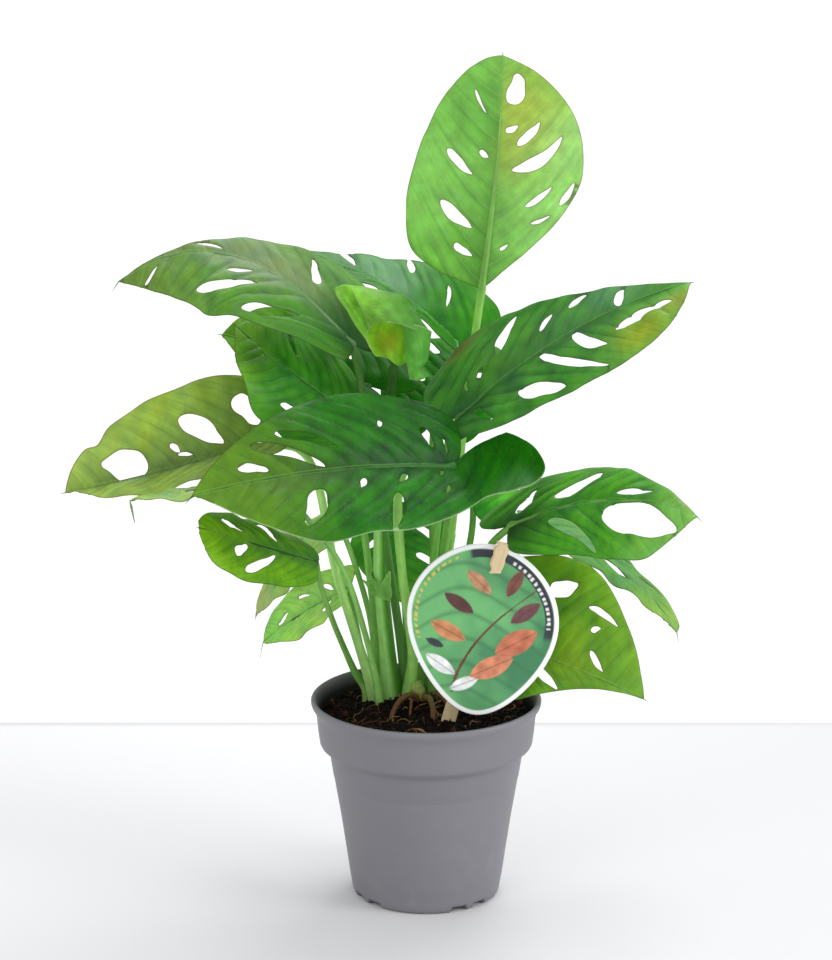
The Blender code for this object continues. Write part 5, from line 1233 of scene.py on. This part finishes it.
def printed(flat, edge_mm):
    """The print's colour at each point: white border, green ground with soft veins, a dark crescent along
    the upper right, rows of small dashes down both sides, and a sprig of leaf shapes up the middle."""
    x, y = flat[..., 0], flat[..., 1]
    grain = (1.5 * ripple(x, y, 73, 9) + .5 * ripple(x, y, 74, 3.1))[..., None]
    shade = .5 + .55 * ripple(x, y, 71, 34) + .25 * ripple(x, y, 72, 11) + (x - 6) / 60 - y / 150
    colour = mixed(paint(112, 184, 116), paint(66, 128, 88), np.clip(shade, 0, 1)[..., None])
    bend = y + .012 * (x + 6) ** 2 + 2.4 * np.sin(x / 9)
    vein = hill(bend % 13 - 6.5, 1.3) * .5 * fade(0, 4, edge_mm)
    colour = mixed(colour, paint(58, 112, 74), vein[..., None])

    def laid(colour, mask, tone, mottle=.25):
        """The colour with a mottled ink laid over it where the mask is 1."""
        return mixed(colour, paint(*tone) * (1 + mottle * grain), np.clip(mask, 0, 1)[..., None])

    bearing = np.degrees(np.arctan2(x, y))
    crescent = fade(0, .6, 7.2 - edge_mm) * fade(0, 4, bearing + 16) * fade(0, 6, 96 - bearing)
    colour = laid(colour, crescent, (48, 56, 62))
    for pitch, long, middle, half, low, high, tone, mottle in (
            (4.6, 2.5, 5.2, .9, 18, 84, (226, 228, 226), .05),
            (5.2, 2.6, 4.6, .8, -104, -22, (206, 196, 90), .1)):
        row = (np.abs(edge_mm - middle) < half) * (bearing > low) * (bearing < high)
        colour = laid(colour, row * (bearing % pitch < long), tone, mottle)
    stem = np.abs(x - (.010 * (y + 38) ** 2 - 12)) < .5 + .006 * (30 - y)
    colour = laid(colour, stem * (y < 24) * (y > -34), (98, 66, 48))
    for cx, cy, slope, long, wide, tone in (
            (-19, -20, 150, 9, 3.6, (236, 240, 238)), (-6, -29, 28, 8, 3.2, (236, 240, 238)),
            (-17, -2, 156, 10, 4.2, (202, 136, 92)), (7, -19, 30, 12, 5.4, (208, 132, 100)),
            (-13, 13, 150, 9, 3.4, (92, 58, 56)), (18, -5, 34, 12, 6.0, (190, 112, 84)),
            (-4, 25, 140, 8.5, 3.4, (190, 138, 104)), (21, 11, 40, 9, 3.8, (110, 70, 74)),
            (14, 26, 66, 8, 3.2, (120, 74, 64)), (-23, -9, 160, 5, 2.0, (58, 66, 74))):
        a = math.radians(slope)
        u = (x - cx) * math.cos(a) + (y - cy) * math.sin(a)
        w = -(x - cx) * math.sin(a) + (y - cy) * math.cos(a)
        half = wide * np.clip(1 - (u / long) ** 2, 0, 1) ** .8
        colour = laid(colour, (half > .05) * fade(-.3, .3, half - np.abs(w)), tone)
        colour = laid(colour, .45 * (half > .4) * fade(0, .3, .45 - np.abs(w)), (70, 44, 40), 0)
    return mixed(colour, paint(244, 246, 245), fade(-.25, .25, CARD_BORDER - edge_mm)[..., None])


CARD_TURNS, CARD_RINGS, BACK_RINGS, EDGE_TURNS = 300, 96, 6, 900
edge = card_edge(round_angles(CARD_TURNS))
front, back = (edge[None] * np.linspace(1, .01, rings)[:, None, None] for rings in (CARD_RINGS, BACK_RINGS))
off_edge = nearest(front.reshape(-1, 2), card_edge(round_angles(EDGE_TURNS))).reshape(front.shape[:2])
low = -CARD_THICK / 2
rows = np.vstack([card_place(front[::-1], -low), card_place(edge[None] * BEVEL_INSET, -low - CARD_BEVEL),
                  card_place(edge[None] * BEVEL_INSET, low + CARD_BEVEL), card_place(back, low)])
print_tones = printed(front, off_edge)[::-1].reshape(-1, 3)
plain_tones = np.tile(paint(238, 238, 234), ((BACK_RINGS + 2) * CARD_TURNS, 1))
ends = [card_place(np.zeros((1, 2)), lift) for lift in (-low, low)]
card = skin("printed_card_label", np.vstack([rows.reshape(-1, 3)] + ends), ring_faces(len(rows), CARD_TURNS),
            {"tone": np.vstack([print_tones, plain_tones, print_tones[:1], plain_tones[-1:]])})
worn(card, "printed_card", grained_finish("printed_card", .38, .3, 2200.0, .05, .00002, .4)[0], "label_card")

# The stick is a sawn strip of birch, rough at its ends and nicked where it is pushed through the slot.
STICK_FOOT, STICK_TOP = np.array((7.5, -13.0, 84.0)), np.array((38.5, -37.0, 199.0))
STICK_WIDTH, STICK_THICK = 7.2, 1.8
stick_line = unit(STICK_TOP - STICK_FOOT)
length = float(np.linalg.norm(STICK_TOP - STICK_FOOT))
up_way = unit(np.cross(stick_line, (1.0, 0, 0)))
side_way = np.cross(up_way, stick_line)
along = np.concatenate([np.linspace(0, length - 24, 30), np.linspace(length - 23, length, 47)])
to_top = length - along
nick = .55 * hill(to_top - 15.5, 1.6) + .42 * hill(to_top - 2, 1.5) + .3 * hill(to_top - 8, 1.2)
rough = .16 * np.sin(along * 2.3) * np.sin(along * .9 + 1)
slot_side = STICK_WIDTH / 2 * (1 - .22 * fade(12, 17, to_top) * fade(30, 20, to_top))
half_left = slot_side - nick * 1.6 + .4 * rough
half_right = STICK_WIDTH / 2 - .9 * nick - .3 * rough
corner = np.array([(-1, -1), (-.5, -1.03), (0, -1.02), (.5, -1.03), (1, -1), (1.0, 0), (1, 1), (.5, 1.03),
                   (0, 1.02), (-.5, 1.03), (-1, 1), (-1, 0)])
across = np.where(corner[:, 0] < 0, half_left[:, None], half_right[:, None]) * corner[:, 0]
deep = STICK_THICK / 2 * .97 * corner[:, 1] + 0 * across
middle_line = STICK_FOOT + stick_line * along[:, None, None]
body = middle_line + side_way * across[..., None] + up_way * deep[..., None]
sides = len(corner)
stick = skin("wooden_stick", np.vstack([body.reshape(-1, 3), [STICK_FOOT, STICK_TOP - stick_line * .5]]),
             ring_faces(len(along), sides), {"run": np.append(np.repeat(along, sides), [0, length]) * MM,
                                             "wide": np.append(across.ravel(), [0, 0]) * MM})
birch, tree, shader, grain = grained_finish("birch", .72, .3, 1.0, .22, .0002, .6, paint(224, 202, 160))
fibre = place(tree, "ShaderNodeCombineXYZ", {0: times(tree, layer(tree, "run"), 70.0),
                                             1: times(tree, layer(tree, "wide"), 1500.0)})
feed(grain, Place=fibre.outputs[0])
worn(stick, "stick_wood", birch, "label_stick")


# Floor and light: a pale table top that ends behind the pot, a white surround and four soft boxes.
# Camera: a long lens, a little above the plant and looking down at the pot.
TABLE_REACH, TABLE_BACK = 3000, 271.0
table_corners = [(side * TABLE_REACH, y, 0) for side, y in (
    (-1, -TABLE_REACH), (1, -TABLE_REACH), (1, TABLE_BACK), (-1, TABLE_BACK))]
table = skin("table_top", table_corners, [(0, 1, 2, 3)])
laminate, tree, shader = finish_of("white_laminate", .6, .1)
spot = place(tree, "ShaderNodeSeparateXYZ", {0: on_object(tree)}).outputs
# The table is painted darker towards the front, where the light falls off, and has painted shade towards the
# right; a darker strip runs along its back edge.
to_back = maths(tree, "DIVIDE", plus(tree, spot["Y"], .35), .62, True)
to_right = maths(tree, "DIVIDE", spot["X"], .25, True)
far_edge = maths(tree, "DIVIDE", less(tree, spot["Y"], .262), .009, True)
floor_painted_light = blend_colour(tree, to_back, paint(213, 213, 215), paint(222, 222, 225))
floor_painted_light = blend_colour(tree, times(tree, to_right, .9), floor_painted_light, paint(204, 204, 207))
feed(shader, Base_Color=blend_colour(tree, far_edge, floor_painted_light, paint(196, 196, 198)))
table.data.materials.append(laminate)
table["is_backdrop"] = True

surround = bpy.data.worlds.new("white_surround")
surround.use_nodes = True
tree = surround.node_tree
sky = tree.nodes["Background"]
sky.inputs["Color"].default_value = (1, 1, 1, 1)
seen = place(tree, "ShaderNodeLightPath").outputs["Is Camera Ray"]
feed(sky, Strength=plus(tree, .8, times(tree, seen, .3)))
bpy.context.scene.world = surround


def soft_box(name, place_at, aim_height, size, power):
    """A round area light that faces a point over the pot's middle."""
    light = bpy.data.lights.new(name, "AREA")
    light.shape = "DISK"
    light.size = size
    light.energy = power
    box = bpy.data.objects.new(name, light)
    box.location = place_at
    box.rotation_euler = (Vector((0, 0, aim_height)) - Vector(place_at)).to_track_quat("-Z", "Y").to_euler()
    bpy.context.scene.collection.objects.link(box)


soft_box("window_box", (.5, .9, 1.5), .2, 1.2, 18)
soft_box("side_box", (1.3, -.5, .7), .2, .7, 9.2)
soft_box("front_box", (-.7, -1.2, 1.3), .25, .8, 4.5)
soft_box("low_box", (-.2, -1.6, .4), .15, .9, 3.5)

CAMERA_PLACE, CAMERA_PITCH, CAMERA_LENS = (-.0053, -1.5, .599), 14.1, 113.4
lens = bpy.data.cameras.new("camera")
lens.lens = CAMERA_LENS
lens.sensor_width = 36.0
lens.clip_start = .05
camera = bpy.data.objects.new("camera", lens)
camera.location = CAMERA_PLACE
camera.rotation_euler = (math.radians(90 - CAMERA_PITCH), 0, 0)
bpy.context.scene.collection.objects.link(camera)
bpy.context.scene.camera = camera
bpy.context.scene.view_settings.view_transform = "Standard"

low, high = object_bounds()
